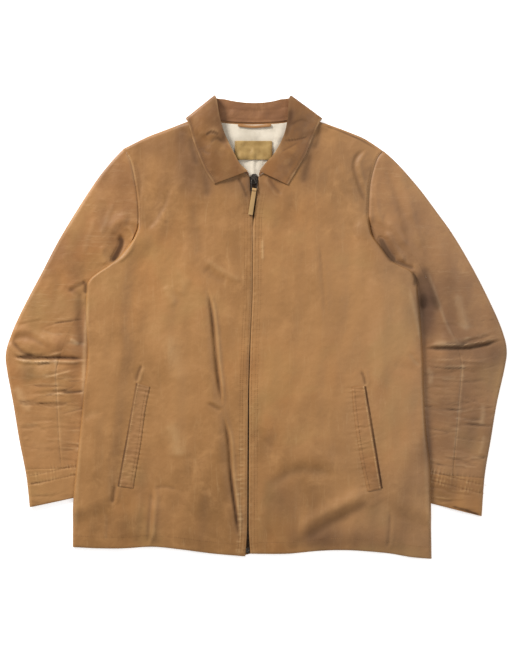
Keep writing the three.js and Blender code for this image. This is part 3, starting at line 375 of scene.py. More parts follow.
CREASES = [crease(*row) for row in (
    # Right front: the long crease beside the zip, in two parts with a kink between.
    ([(-84, 69), (-75, 12), (-67, -73), (-58, -137)], -2.6, 3.6, 2, 1, 0.4),
    ([(-84, -129), (-72, -135), (-58, -142)], -1.4, 3.6, 0.8, 0.5, 0.2),
    ([(-58, -144), (-48, -192), (-43, -260), (-35, -319), (-29, -370)], -2.6, 3.4, 2, 1, 0.4),
    # Right front: soft hollows and pale ridges of the chest, and a line from the shoulder.
    ([(-96, 174), (-96, 120)], -1, 12, 0, 0.3),
    ([(-91, 118), (-70, 104), (-50, 92), (-23, 77)], 1.8, 9, 0, 0, 0.3),
    ([(-89, 104), (-72, 86), (-48, 75)], -1.2, 9, 0, 0.3),
    ([(-154, 72), (-147, 53), (-137, 36)], 1.3, 10, 0, 0, 0.3),
    ([(-130, 53), (-123, 70), (-113, 86)], 1.2, 10, 0, 0, 0.25),
    ([(-142, 245), (-164, 194), (-193, 160)], -0.9, 6, 0, 0.3),
    # Right front: the shade beside and below the collar's leaf.
    ([(-113, 329), (-108, 301), (-99, 271)], -0.8, 8, 0, 0.5),
    ([(-97, 284), (-86, 250), (-82, 216)], -1, 9, 0, 0.4),
    # Right front: pale patches on low ridges, partly wear and partly painted highlight.
    ([(-152, -5), (-145, -30), (-137, -59), (-130, -98)], 1.2, 20, 0, 0, 0.45),
    ([(-154, -158), (-138, -185), (-130, -226)], 1.2, 22, 0, 0, 0.45),
    # Right front: ridges above the hem.
    ([(-177, -270), (-182, -319), (-186, -373)], -1.4, 5, 2.2, 0.5, 0.25),
    ([(-196, -284), (-203, -322), (-208, -366)], 1.4, 9, 0, 0, 0.15),
    ([(-176, -275), (-155, -271), (-133, -277)], -1, 4, 0, 0.4),
    # Right front: below and above the pocket.
    ([(-239, -266), (-242, -280), (-245, -302)], -2, 4, 1, 0.7),
    ([(-256, -309), (-254, -336), (-256, -367)], -0.8, 4, 0, 0.3, 0.2),
    ([(-194, -62), (-201, -78), (-205, -95)], -1.4, 3, 0.9, 0.8, 0.35),
    # Right front: along its side edge.
    ([(-284, 63), (-290, -5), (-293, -76), (-296, -146)], 0.8, 6, 0, 0, 0.5),
    ([(-293, -158), (-279, -146), (-259, -144)], -1.2, 9, 0, 0.25, 0.25),
    ([(-298, -166), (-303, -260), (-308, -362)], 0.6, 6, 0, 0, 0.35),
    # Left front: a thin crease, a pale ridge by the zip, folds above the hem, and a line under the pocket.
    ([(107, 148), (113, 80), (117, 9)], -0.8, 4, 0, 0.35),
    ([(10, 152), (11, 111)], 0.8, 3, 0, 0, 0.6),
    ([(16, -280), (40, -258), (74, -244), (108, -246), (135, -256)], -2, 12, 0, 0.35, 0.2),
    ([(74, -368), (112, -341), (159, -317), (207, -287)], -2.6, 11, 2.2, 0.45, 0.2),
    ([(227, -311), (226, -345), (222, -380)], -1.2, 3.6, 0.8, 0.5, 0.2),
    # Left front: along its side edge.
    ([(258, 72), (271, 16), (280, -30)], 0.8, 6, 0, 0, 0.5),
    ([(282, -73), (283, -158), (290, -294), (294, -370)], 0.6, 6, 0, 0, 0.35),
    ([(260, -42), (268, -57), (280, -66)], -1, 5, 0, 0.35, 0.4),
    ([(232, -61), (253, -69), (275, -71)], -1, 10, 0, 0.2),
    # Left front: the shoulder's fold and seam, the chest, and above the pocket.
    ([(188, 303), (171, 291), (166, 273), (175, 240), (190, 203)], -2, 5, 1.4, 0.5, 0.2),
    ([(108, 345), (142, 334), (180, 317), (212, 298)], -0.9, 1.8, 0, 0.8),
    ([(132, 284), (146, 250), (159, 213)], -1.2, 9, 0, 0.3),
    ([(178, -73), (183, -86), (186, -100)], -1.4, 3, 0.9, 0.9, 0.3),
    # Left front: the shade below and beside the collar's leaf.
    ([(95, 298), (86, 271), (78, 240)], -1, 8, 0, 0.5),
    ([(108, 351), (105, 322), (96, 298)], -0.8, 7, 0, 0.5),
    # Right sleeve: the elbow's folds.
    ([(-419, -49), (-385, -52), (-361, -52), (-330, -52), (-288, -54)], -3, 3.4, -2.4, 1, 0.5),
    ([(-415, -23), (-398, -42), (-375, -50)], -2, 4, -1.4, 0.6, 0.2),
    ([(-426, -39), (-414, -22), (-392, -16), (-371, -25), (-354, -37)], -1.5, 6, 1.3, 0.4, 0.2),
    # Right sleeve: painted shade beside the body, and a small ridge painted bright.
    ([(-298, 60), (-301, 12), (-296, -42)], -1.2, 11, 0, 0.5),
    ([(-318, -20), (-310, -23), (-301, -30)], 1.3, 4.5, 0, 0, 0.6),
    # Right forearm: its seam and front painted pale, partly wear and partly highlight, and fine lines with
    # painted shade.
    ([(-337, -23), (-341, -66), (-338, -124), (-333, -192), (-330, -239)], 0.5, 4.5, 0, 0, 0.35),
    ([(-402, -132), (-368, -131), (-324, -129)], -0.8, 2.2, 0.4, 0.7, 0.2),
    ([(-334, -112), (-313, -110), (-290, -108)], -0.8, 2.2, -0.4, 0.6, 0.2),
    ([(-410, -96), (-398, -124), (-381, -147)], 0.7, 11, 0, 0, 0.5),
    ([(-334, -110), (-313, -112), (-293, -108)], -0.5, 2.5, 0, 0.3),
    ([(-395, -164), (-368, -171), (-354, -181)], -0.5, 3, 0, 0.25, 0.2),
    ([(-388, -192), (-361, -198), (-337, -193)], -0.4, 3, 0, 0.25, 0.25),
    ([(-371, -1), (-347, -11), (-324, -11)], -0.6, 4, 0, 0.25, 0.3),
    ([(-324, -25), (-310, -28), (-290, -27)], -0.6, 4, 0, 0.2, 0.35),
    ([(-398, -76), (-375, -83), (-347, -79)], 0.6, 6, 0, 0, 0.3),
    # Right armpit: the dimple painted dark as shade, with its pale ring, and the pit beside the body's
    # corner in painted shade.
    ([(-249, 108), (-237, 126), (-230, 143), (-232, 159)], -4.6, 6, 0, 1.1),
    ([(-228, 166), (-216, 168), (-209, 155), (-210, 138), (-222, 121), (-239, 107)], 1.8, 4.2, 0, 0,
      0.25),
    ([(-261, 140), (-261, 121), (-254, 106)], 1.6, 7, 0, 0, 0.15),
    ([(-296, 80), (-290, 70), (-291, 55)], -1.8, 4.4, 0, 0.8),
    ([(-320, 60), (-307, 67), (-293, 74)], -1, 4, 0.6, 0.3),
    # Both fronts: where they open beside the slider, in painted shade.
    ([(-33, 257), (-23, 239), (-13, 216)], -1.4, 3.6, 0.8, 0.6),
    ([(20, 257), (30, 240), (44, 223)], -1.2, 3.6, -1, 0.5, 0.3),
    # Right sleeve: below the armpit, the upper arm and the head.
    ([(-327, 70), (-310, 60), (-293, 52)], -0.8, 6, 0, 0.3),
    ([(-242, 216), (-256, 179), (-266, 152)], 1, 7, 0, 0, 0.3),
    ([(-274, 189), (-286, 152), (-296, 118)], 0.9, 8, 0, 0, 0.25),
    ([(-330, 101), (-337, 63), (-347, 26)], -0.8, 8, 0, 0.2),
    ([(-225, 301), (-213, 278), (-206, 240)], 0.9, 5, 0, 0, 0.4),
    ([(-208, 288), (-199, 257), (-198, 216)], -0.8, 5, 0, 0.3),
    # Left sleeve: the elbow, and its seam above and below it painted pale, partly wear and partly
    # highlight.
    ([(283, -37), (312, -36), (346, -36), (375, -33), (418, -22)], -3, 3.4, 2.5, 1, 0.5),
    ([(350, -25), (373, -20), (401, -13)], -1, 2.6, 0.6, 0.5, 0.3),
    ([(287, 106), (305, 58), (324, 2), (345, -30)], 0.9, 5, 0, 0, 0.5),
    ([(348, -42), (350, -73), (343, -158), (334, -234)], 0.5, 4.5, 0, 0, 0.45),
    # Left forearm: fine lines, pale patches of wear and painted highlight, and a dent above the elbow.
    ([(285, -57), (312, -62), (339, -59)], -0.5, 3, 0, 0.3),
    ([(285, -74), (312, -78), (343, -76)], -0.5, 3, 0, 0.25),
    ([(350, -91), (370, -91), (394, -84)], -0.5, 3, 0, 0.25, 0.2),
    ([(285, -137), (312, -141), (343, -139)], -0.6, 3, 0, 0.4),
    ([(346, -117), (370, -118), (390, -113)], -0.5, 3, 0, 0.3),
    ([(350, -154), (367, -159), (387, -154)], -0.5, 3, 0, 0.25, 0.2),
    ([(288, -110), (305, -115), (322, -113)], -0.5, 3, 0, 0.2),
    ([(299, -173), (319, -176), (336, -173)], -0.4, 3, 0, 0.25),
    ([(290, -66), (297, -83), (294, -100)], 0.3, 7, 0, 0, 0.55),
    ([(384, -127), (385, -151), (380, -171)], 0.3, 7, 0, 0, 0.5),
    ([(387, -181), (384, -202), (377, -219)], 0.3, 6, 0, 0, 0.4),
    ([(338, 9), (356, 1), (377, 2)], -0.7, 5, 0, 0.25, 0.2),
    # Left armpit: the hollow and its ridge, and the shade round the body's corner.
    ([(209, 157), (217, 138), (227, 122), (239, 108)], -5.5, 6.5, 0, 1.2),
    ([(220, 165), (231, 145), (243, 125), (254, 109)], 3, 7, 0, 0, 0.15),
    ([(234, 114), (251, 106), (271, 99)], -2.2, 4, 0, 0.7),
    ([(275, 94), (282, 67), (285, 26)], -1.6, 9, 0, 0.6),
    ([(282, 111), (297, 67), (314, 19)], -1.6, 9, 0, 0.6),
    # Left sleeve: pale bands of wear and painted highlight, and the cuff's end painted dark as the shade in
    # its opening.
    ([(338, 63), (350, 21), (358, -13)], 1, 12, 0, 0, 0.5),
    ([(295, -24), (333, -24), (370, -18)], 0.9, 7, 0, 0, 0.4),
    ([(328, -303), (355, -311), (385, -321)], -0.5, 2.4, 0, 1),
    # Left sleeve's head: its ridge and trough, and the ridge beside the stitching.
    ([(237, 278), (258, 216), (270, 169), (282, 131)], 2.4, 10, 0, 0, 0.15),
    ([(220, 271), (237, 225), (251, 176), (261, 138)], -1.8, 8, 0, 0.3),
    ([(209, 271), (203, 233), (207, 196), (220, 165)], 1.4, 6, 0, 0, 0.15),
    # Left sleeve: the pit, the shade beside the body, and the head's seam.
    ([(266, 96), (270, 80), (268, 67)], -1.6, 4, 0, 0.7),
    ([(285, 60), (290, 16), (290, -25)], -1.2, 13, 0, 0.4),
    ([(203, 276), (195, 233), (197, 174)], 0.8, 5, 0, 0, 0.2),
    ([(197, 284), (192, 233), (190, 179)], -0.9, 3.5, 0, 0.4),
    ([(241, 216), (265, 157), (280, 111)], -1, 10, 0, 0.2, 0.15),
)]


# Creases of the collar's leaves, pressed in by folding, with painted shade in them.
LEAF_CREASES = [crease(*row) for row in (
    # Right leaf.
    ([(-87, 324), (-76, 331), (-62, 326)], -0.9, 1.9, 0.6, 1, 0.2),
    ([(-79, 313), (-67, 321), (-57, 313)], -0.7, 2.2, 0.5, 0.7),
    ([(-97, 308), (-87, 298), (-75, 295)], -0.6, 3, 0, 0.4),
    ([(-55, 359), (-53, 335), (-57, 308)], -0.8, 6, 0, 0.5),
    # Left leaf.
    ([(45, 317), (67, 318), (91, 325)], -0.7, 1.5, 0.4, 0.6, 0.3),
    ([(40, 296), (56, 305), (74, 315)], -0.5, 1.5, 0.3, 0.4),
    ([(57, 342), (74, 351), (90, 349)], -0.4, 2, 0, 0.25),
    ([(61, 373), (56, 346), (49, 318)], -0.6, 6, 0, 0.35),
)]

# Where the leather is made darker, or in minus paler: partly its own tone, partly painted shade
# beside the collar's leaves, the slider and the body, with the wearer's left sleeve painted darker
# and the right forearm paler as the light falls: place, reach and amount.
MOST_TONE = 1.5
TONES_AND_LIGHT = [
    (-164, -325, 140, 60, 0.16), (134, -319, 130, 62, 0.4), (-172, -13, 90, 90, -0.55),
    (-274, -81, 30, 140, -0.3), (263, -81, 25, 120, -0.2), (142, 293, 60, 40, 0.3),
    (-150, 300, 60, 36, 0.5), (261, 165, 60, 70, 0.2), (345, 29, 80, 80, 0.7),
    (355, -141, 80, 95, 0.72), (346, -271, 80, 30, 0.5), (-342, -165, 60, 105, -0.85),
    (-102, 255, 38, 42, 1.0), (-230, 250, 40, 60, 0.45), (95, -40, 90, 150, -0.6),
    (-330, -285, 60, 30, -0.5), (290, 40, 18, 62, 1.0), (328, -4, 20, 22, 0.6),
    (402, -50, 30, 26, 0.8), (372, -150, 28, 100, 0.15), (-27, 243, 26, 26, 0.75),
    (25, 243, 26, 26, 0.65), (0, 205, 24, 36, 0.4), (-125, 335, 20, 30, 0.9),
    (-259, 179, 16, 24, 0.8), (-323, 114, 24, 24, 0.7), (-194, 308, 24, 20, 0.3),
    (-304, -32, 30, 60, 0.6), (-302, -130, 26, 50, 0.8), (-376, -180, 30, 60, -0.6),
    (-388, -79, 24, 24, 0.7), (-220, -138, 42, 52, -0.8), (-130, -135, 26, 100, -1.0),
    (162, 66, 48, 78, -0.65), (145, -272, 36, 40, -0.8), (165, -360, 90, 22, 0.8),
    (32, -290, 30, 40, 0.6), (-155, 30, 20, 80, -0.3),
    (292, -205, 14, 60, 0.6), (231, 128, 13, 24, 0.8), (292, -365, 16, 20, 0.5),
    (96, -366, 30, 18, 0.4), (-10, 243, 24, 22, 0.45), (84, 262, 14, 22, 0.8),
    (96, 300, 14, 24, 0.4), (-72, 310, 18, 34, -0.5), (-290, 150, 20, 24, 0.5),
    (-291, 22, 14, 22, 0.4), (-40, -190, 22, 60, -0.5), (-255, -275, 20, 36, -0.5),
    (-84, -50, 22, 30, -0.5), (0, 30, 40, 50, -0.5),
]


def tone_and_light_at(p):
    """How much darker the leather is made at plan points, or in minus paler: its own tone, and painted
    shade and light.
    """
    total = np.zeros(p.shape[:-1])
    for x, y, reach_x, reach_y, amount in TONES_AND_LIGHT:
        away = ((p[..., 0] - x) / reach_x) ** 2 + ((p[..., 1] - y) / reach_y) ** 2
        total += amount * np.exp(-away)
    total = total + 0.14 * BUCKLING(p * np.array([1.0, 0.4])) + 0.12 * BUCKLING(p * 0.45)
    return np.clip(total, -MOST_TONE, MOST_TONE)


def fold_height(p):
    """The large folds, kept clear of the zip, the collar and the pockets."""
    beside_zip = ease((np.abs(p[..., 0] - zip_x(p[..., 1])) - 10) / 26)
    below_collar = ease((282 - p[..., 1] + 0.5 * np.abs(p[..., 0] + 6)) / 40)
    welt = np.minimum(outside(p, RIGHT["welt"]), outside(p, LEFT["welt"]))
    total = np.zeros(p.shape[:-1])
    for fold in FOLDS:
        distance, share, _ = nearest(p, fold["line"])
        reach = distance / fold["width"]
        taper = 0.2 + 0.8 * ease(share * 4) * ease((1 - share) * 4)
        total += fold["height"] * taper * np.exp(-1.6 * reach * reach) * ease(2 - reach)
    return total * beside_zip * below_collar * ease((welt - 4) / 26)


def waves(count, shortest, longest, seed):
    """Soft irregular undulation: crossed waves of random length and direction."""
    rng = np.random.default_rng(seed)
    turn = rng.uniform(0, math.tau, count)
    pace = math.tau / np.exp(rng.uniform(math.log(shortest), math.log(longest), count))
    shift = rng.uniform(0, math.tau, count)

    def at(p):
        total = np.zeros(p.shape[:-1])
        for a, k, s in zip(turn, pace, shift):
            total += np.sin(k * (p[..., 0] * math.cos(a) + p[..., 1] * math.sin(a)) + s)
        return total / math.sqrt(count)
    return at


BUCKLING = waves(18, 26, 80, 5)
RUMPLE = waves(16, 9, 24, 8)


def small_creases(corners, count, turn, seed):
    """Fine creases across a sleeve, scattered between two corners."""
    rng = np.random.default_rng(seed)
    (x0, y0), (x1, y1) = corners
    made = []
    for _ in range(count):
        x, y = rng.uniform(x0, x1), rng.uniform(y0, y1)
        half, angle = rng.uniform(12, 42), math.radians(turn + rng.normal(0, 7))
        dx, dy = half * math.cos(angle), half * math.sin(angle)
        bend = rng.uniform(-0.12, 0.12) * half
        path = [(x - dx, y - dy), (x, y + bend), (x + dx, y + dy)]
        made.append(crease(path, -rng.uniform(0.2, 0.65), rng.uniform(1.3, 2.2),
                           bank=rng.uniform(-0.45, 0.45), dark=rng.uniform(0.1, 0.5),
                           rub=rng.uniform(0.0, 0.36)))
    return made


SLEEVE_CREASES = list(CREASES)
for corners, count, turn, seed in (
        ([(-405, -235), (-275, -80)], 46, 2, 21), ([(-400, -80), (-300, 10)], 12, 6, 22),
        ([(280, -240), (405, -60)], 60, -2, 23), ([(300, -60), (400, 20)], 14, 4, 24),
        ([(-385, -300), (-275, -245)], 10, 4, 25), ([(265, -310), (380, -255)], 12, -6, 26)):
    SLEEVE_CREASES += small_creases(corners, count, turn, seed)


def relief(p, creases=CREASES):
    """Height, painted shade, and wear with painted highlight that the listed creases give to plan points.
    """
    height = 0.5 * BUCKLING(p * np.array([1.0, 0.5])) + 0.07 * RUMPLE(p)
    shade, rub = np.zeros(p.shape[:-1]), np.zeros(p.shape[:-1])
    for one in creases:
        width = one["width"]
        reach = 4.5 * width
        low, high = one["line"].min(0) - reach, one["line"].max(0) + reach
        near = ((p > low) & (p < high)).all(-1)
        if not near.any():
            continue
        distance, share, side = nearest(p[near], one["line"])
        taper = ease(share * 4.5 + 0.1) * ease((1 - share) * 4.5 + 0.1)
        width = width * (0.45 + 0.55 * taper)
        core = np.exp(-1.6 * (distance / width) ** 2)
        halo = np.exp(-0.3 * (distance / width) ** 2)
        bank_side = 1 if one["bank"] >= 0 else -1
        offset = distance * side * bank_side - 1.9 * width
        crest = np.exp(-1.2 * (offset / width) ** 2)
        height[near] += taper * (one["height"] * (0.8 * core + 0.2 * halo)
                                 + abs(one["bank"]) * crest)
        # Painted shade lies in the crease; the crest of its bank, or the crease itself, is painted paler,
        # partly wear and partly highlight.
        shade[near] += one["dark"] * taper * (0.75 * core + 0.25 * halo)
        worn = crest if one["bank"] else core
        rub[near] += one["rub"] * taper * worn
    return height, np.clip(shade, 0, 1), np.clip(rub, 0, 1)


def back_lift(p):
    """How high the back lies over the tucked sleeves and the collar's back."""
    def over(outline, lift, flat, ramp):
        return lift * ease(1 - (outside(p, outline) - flat) / ramp)
    return np.maximum.reduce([over(RIGHT["tucked"], SLEEVE_LIFT, 8, SLEEVE_RAMP),
                              over(LEFT["tucked"], SLEEVE_LIFT, 8, SLEEVE_RAMP),
                              over(COLLAR_BED, COLLAR_LIFT, 11, COLLAR_RAMP)])


HEM_LINE = [tuple(p) for p in reversed(RIGHT["hem"])] + [tuple(p) for p in LEFT["hem"]]


def hem_distance(p):
    """How far above the hem plan points lie."""
    return p[..., 1] - look_up(HEM_LINE, p[..., 0])


def front_top(p, lift=None):
    """The height of the fronts at plan points."""
    lift = back_lift(p) if lift is None else lift
    from_hem = ease(hem_distance(p) / HEM_RAMP)
    neck = NECK_RISE * ease((p[..., 1] - 175) / 50) * ease((130 - np.abs(p[..., 0] + 6)) / 50)
    flat = mix(HEM_HEIGHT, BODY_HEIGHT, from_hem)
    own = flat + neck + fold_height(p) * (0.4 + 0.6 * from_hem)
    return lift + np.maximum(LEAST_HEIGHT, own)


def sleeve_top(p, side, from_armhole):
    """The height of a sleeve: pressed under the body, and level with the front at its head."""
    tucked = outside(p, side["tucked"])
    free = ease((tucked - 6) / 34)
    own = np.maximum(LEAST_HEIGHT, mix(PRESSED_SLEEVE, SLEEVE_HEIGHT + fold_height(p), free))
    level = ease(1 - from_armhole / 40) * ease((tucked - 10) / 24)
    return mix(own, np.minimum(front_top(p), own + 1.2), level)


# Meshes.

slider_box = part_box("zip_slider")
SHIFT = np.array([(slider_box[0][0] + slider_box[1][0]) * 500 - SLIDER_X,
                  (slider_box[0][1] + slider_box[1][1]) * 500 - SLIDER_Y, 0])


class Sheet:
    """A wall of cloth: its outer grid, what lies behind it, and its painted shade, wear and painted
    highlight.

    least gives the lowest height for what lies behind, but for where the wall is turned down.
    """

    def __init__(self, grid, thickness, facing, ring=False, least=None, marks=None):
        self.grid = grid
        rows, cols = grid.shape[:2]
        if ring:
            across = np.roll(grid, -1, 1) - np.roll(grid, 1, 1)
        else:
            across = np.concatenate([grid[:, 1:], grid[:, -1:]], 1)
            across = across - np.concatenate([grid[:, :1], grid[:, :-1]], 1)
        along = np.concatenate([grid[1:], grid[-1:]]) - np.concatenate([grid[:1], grid[:-1]])
        normal = np.cross(across, along)
        normal /= np.linalg.norm(normal, axis=-1, keepdims=True) + 1e-12
        self.behind = grid - normal * facing * thickness
        if least is not None:
            low = least(self.behind[..., :2])
            turned_down = grid[..., 2] < low - 0.2
            self.behind[..., 2] = np.where(turned_down, self.behind[..., 2],
                                           np.maximum(self.behind[..., 2], low))
        ids = np.arange(rows * cols).reshape(rows, cols)
        if ring:
            ids = np.concatenate([ids, ids[:, :1]], 1)
        last = ids.shape[1] - 1
        other = ids + rows * cols
        a, b, c, d = ids[:-1, :-1], ids[:-1, 1:], ids[1:, 1:], ids[1:, :-1]
        e, f, g, h = other[:-1, :-1], other[:-1, 1:], other[1:, 1:], other[1:, :-1]
        faces = [np.stack([a, b, c, d], -1), np.stack([e, h, g, f], -1)]
        faces.append(np.stack([ids[0, :-1], other[0, :-1], other[0, 1:], ids[0, 1:]], -1))
        faces.append(np.stack([ids[-1, :-1], ids[-1, 1:], other[-1, 1:], other[-1, :-1]], -1))
        if not ring:
            faces.append(np.stack([ids[:-1, 0], ids[1:, 0], other[1:, 0], other[:-1, 0]], -1))
            faces.append(np.stack([ids[:-1, last], other[:-1, last], other[1:, last],
                                   ids[1:, last]], -1))
        self.faces = np.concatenate([f.reshape(-1, 4) for f in faces])
        if facing < 0:
            self.faces = self.faces[:, ::-1]
        self.ring = ring
        self.marks = marks

    def cut(self):
        """The flat cut's longest width and length, and its area, in metres."""
        g = self.grid / 1000
        if self.ring:
            g = np.concatenate([g, g[:, :1]], 1)
        width = np.linalg.norm(np.diff(g, axis=1), axis=-1).sum(1).max()
        length = np.linalg.norm(np.diff(g, axis=0), axis=-1).sum(0).max()
        one, two = g[1:, 1:] - g[:-1, :-1], g[1:, :-1] - g[:-1, 1:]
        area = np.linalg.norm(np.cross(one, two), axis=-1).sum() / 2
        return width, length, min(area, width * length)


def dress(name, sheet, material, node, cut=None):
    """Makes a sheet's mesh in the place of a solid; cut is its flat size where it is folded."""
    points = np.concatenate([sheet.grid.reshape(-1, 3), sheet.behind.reshape(-1, 3)])
    mesh = bpy.data.meshes.new(name)
    mesh.from_pydata((points + SHIFT) / 1000, [], np.asarray(sheet.faces).tolist())
    mesh.polygons.foreach_set("use_smooth", np.ones(len(mesh.polygons), bool))
    mesh.set_sharp_from_angle(angle=math.radians(SMOOTH_ANGLE))
    mesh.materials.append(material)
    obj = placed(name, mesh)
    if sheet.marks is not None:
        sheet.marks["tone_and_light"] = tone_and_light_at(sheet.grid[..., :2])
        for key, values in sheet.marks.items():
            data = np.concatenate([values.ravel(), 0 * values.ravel()]).astype(np.float32)
            obj.data.attributes.new(key, "FLOAT", "POINT").data.foreach_set("value", data)
    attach(obj, "garment")
    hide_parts(node)
    width, length, area = cut or sheet.cut()
    flat = [max(0.01, math.ceil(size * 1000) / 1000) for size in (width, length)]
    return obj


def tree_of(obj):
    mesh = obj.data
    return BVHTree.FromPolygons([v.co for v in mesh.vertices],
                                [tuple(p.vertices) for p in mesh.polygons])


def height_over(trees, p):
    """The highest point of some meshes over plan points, in millimetres."""
    flat = np.asarray(p, float).reshape(-1, 2)
    tops = []
    for x, y in flat:
        origin = Vector(((x + SHIFT[0]) / 1000, (y + SHIFT[1]) / 1000, 0.2))
        hits = [t.ray_cast(origin, Vector((0, 0, -1)))[0] for t in trees]
        hits = [h.z * 1000 for h in hits if h is not None]
        tops.append(max(hits) if hits else 0.0)
    return np.array(tops).reshape(np.asarray(p).shape[:-1])


# Node trees.


class Socket:
    """A socket of a node tree, that can be used in sums."""

    def __init__(self, tree, socket):
        self.tree = tree
        self.socket = socket

    def maths(self, operation, *values):
        return self.tree.node("ShaderNodeMath", {"operation": operation}, dict(enumerate(values)))

    def __add__(self, other):
        return self.maths("ADD", self, other)

    def __mul__(self, other):
        return self.maths("MULTIPLY", self, other)

    def __sub__(self, other):
        return self.maths("SUBTRACT", self, other)

    __radd__ = __add__
    __rmul__ = __mul__

    def between(self, low, high):
        """0 below low and 1 above high, with a soft step."""
        settings = {"interpolation_type": "SMOOTHSTEP"}
        return self.tree.node("ShaderNodeMapRange", settings,
                              {"Value": self, "From Min": low, "From Max": high})


class Tree:
    """A node tree that is built by naming its nodes, their settings and their sockets."""

    def __init__(self, tree):
        self.tree = tree

    def node(self, kind, settings=None, inputs=None, out=0):
        made = self.tree.nodes.new(kind)
        for key, value in (settings or {}).items():
            setattr(made, key, value)
        for key, value in (inputs or {}).items():
            if isinstance(value, Socket):
                self.tree.links.new(value.socket, made.inputs[key])
            else:
                made.inputs[key].default_value = value
        return Socket(self, made.outputs[out]) if len(made.outputs) else made

    def blend(self, low, high, share, kind="MIX"):
        """Two colours mixed by a share."""
        made = self.tree.nodes.new("ShaderNodeMix")
        made.data_type = "RGBA"
        made.blend_type = kind
        for socket, value in zip((made.inputs[0], made.inputs[6], made.inputs[7]),
                                 (share, low, high)):
            if isinstance(value, Socket):
                self.tree.links.new(value.socket, socket)
            else:
                socket.default_value = value
        return Socket(self, made.outputs[2])


def tone(red, green, blue):
    """A colour as a screen shows it, 0 to 255, as linear light."""
    def linear(value):
        value /= 255
        return value / 12.92 if value < 0.04045 else ((value + 0.055) / 1.055) ** 2.4
    return (linear(red), linear(green), linear(blue), 1)


class Finish(Tree):
    """A material with one Principled shader, reading Object coordinates."""

    def __init__(self, name, **plain):
        self.material = bpy.data.materials.new(name)
        self.material.use_nodes = True
        super().__init__(self.material.node_tree)
        self.shader = self.tree.nodes["Principled BSDF"]
        for key, value in plain.items():
            self.shader.inputs[key.replace("_", " ")].default_value = value
        self.place = self.node("ShaderNodeTexCoord", out="Object")

    def noise(self, scale, detail=3.0, rough=0.55, place=None, twist=0.0):
        return self.node("ShaderNodeTexNoise", {"noise_dimensions": "3D"},
                         {"Vector": place or self.place, "Scale": scale, "Detail": detail,
                          "Roughness": rough, "Distortion": twist})

    def stretched(self, x, y, z=1.0, turn=0.0):
        """Object coordinates drawn out, for streaks."""
        return self.node("ShaderNodeMapping", None,
                         {"Vector": self.place, "Rotation": (0, 0, turn), "Scale": (x, y, z)})

    def both_ways(self, value):
        """What a value is above 0, and what it is below 0."""
        return value.maths("MAXIMUM", value, 0.0), value.maths("MAXIMUM", value * -1.0, 0.0)

    def mark(self, name):
        return self.node("ShaderNodeAttribute", {"attribute_name": name}, out="Fac")

    def bumps(self, *layers):
        """Bump nodes one after another; each layer is (height, depth in metres, strength)."""
        normal = None
        for height, depth, strength in layers:
            inputs = {"Height": height, "Distance": depth, "Strength": strength}
            if normal is not None:
                inputs["Normal"] = normal
            normal = self.node("ShaderNodeBump", None, inputs)
        self.set("Normal", normal)

    def set(self, name, value):
        self.tree.links.new(value.socket, self.shader.inputs[name])


def leather_finish(name, base, pale, dark, worn, gloss=0.46, streak=0.0, patches=1.0,
                   run=(0.35, 2.6), greyer_towards_plus_x=0.0):
    """Smooth aniline leather: cloudy colour, pale crests of wear and painted highlight, painted shade in
    creases, fine grain.
    """
    f = Finish(name, Specular_IOR_Level=0.42)
    rub, shade, tone_and_light = f.mark("rub"), f.mark("shade"), f.mark("tone_and_light")
    clouds = f.noise(7.0, 4.0, 0.6)
    mottle = f.noise(34.0, 5.0, 0.65, twist=0.4)
    speck = f.noise(420.0, 2.0, 0.5)
    colour = f.blend(dark, base, clouds.between(0.28, 0.6))
    colour = f.blend(colour, pale, mottle.between(0.42, 0.78) * (0.55 * patches))
    orange, olive = f.noise(5.5, 3.0, 0.5), f.noise(6.5, 3.0, 0.6, twist=0.3)
    colour = f.blend(colour, tone(176, 116, 58), orange.between(0.5, 0.7) * 0.4)
    colour = f.blend(colour, tone(156, 124, 72), olive.between(0.5, 0.7) * 0.4)
    # Paler where the leather is worn and where a highlight is painted on crests and ridges.
    pale_breakup = f.noise(90.0, 4.0, 0.7, place=f.stretched(1.0, 0.35))
    pale_wear_and_highlight = (rub * (0.35 + 1.3 * pale_breakup)).between(0.06, 0.95)
    colour = f.blend(colour, worn, pale_wear_and_highlight)
    if streak:
        lines = f.noise(60.0, 5.0, 0.75, place=f.stretched(*run, turn=0.12), twist=0.6)
        colour = f.blend(colour, worn, lines.between(0.52, 0.76) * streak)
    # Painted shade: dark brown in creases, hollows, slits and beside raised parts.
    painted_shade = (shade * (0.5 + 0.9 * mottle)).between(0.05, 1.0)
    colour = f.blend(colour, tone(58, 32, 14), painted_shade * 0.85)
    colour = f.blend(colour, tone(92, 60, 34), speck.between(0.62, 0.8) * 0.16)
    # Greyer towards +X, the wearer's left side, by the object's X alone.
    if greyer_towards_plus_x:
        sideways = f.node("ShaderNodeSeparateXYZ", inputs={"Vector": f.place}, out="X")
        colour = f.blend(colour, tone(158, 126, 94), sideways.between(0.02, 0.34) * greyer_towards_plus_x)
    # Darker or paler by place, from the table of tones: partly the leather's own tone, partly painted shade
    # and light.
    darkened_and_shaded, paled_and_lit = f.both_ways(tone_and_light)
    colour = f.blend(colour, (0.4, 0.37, 0.4, 1), darkened_and_shaded * 0.667, "MULTIPLY")
    colour = f.blend(colour, pale, paled_and_lit * 0.6)
    f.set("Base Color", colour)
    f.set("Roughness", gloss + 0.16 * mottle - 0.1 * pale_wear_and_highlight + 0.4 * painted_shade)
    pores = f.node("ShaderNodeTexVoronoi", {"feature": "SMOOTH_F1"},
                   {"Vector": f.place, "Scale": 820.0, "Smoothness": 0.6})
    f.bumps((f.noise(150.0, 4.0, 0.6, twist=0.5), 0.0012, 0.35), (pores, 0.0003, 0.25))
    return f.material


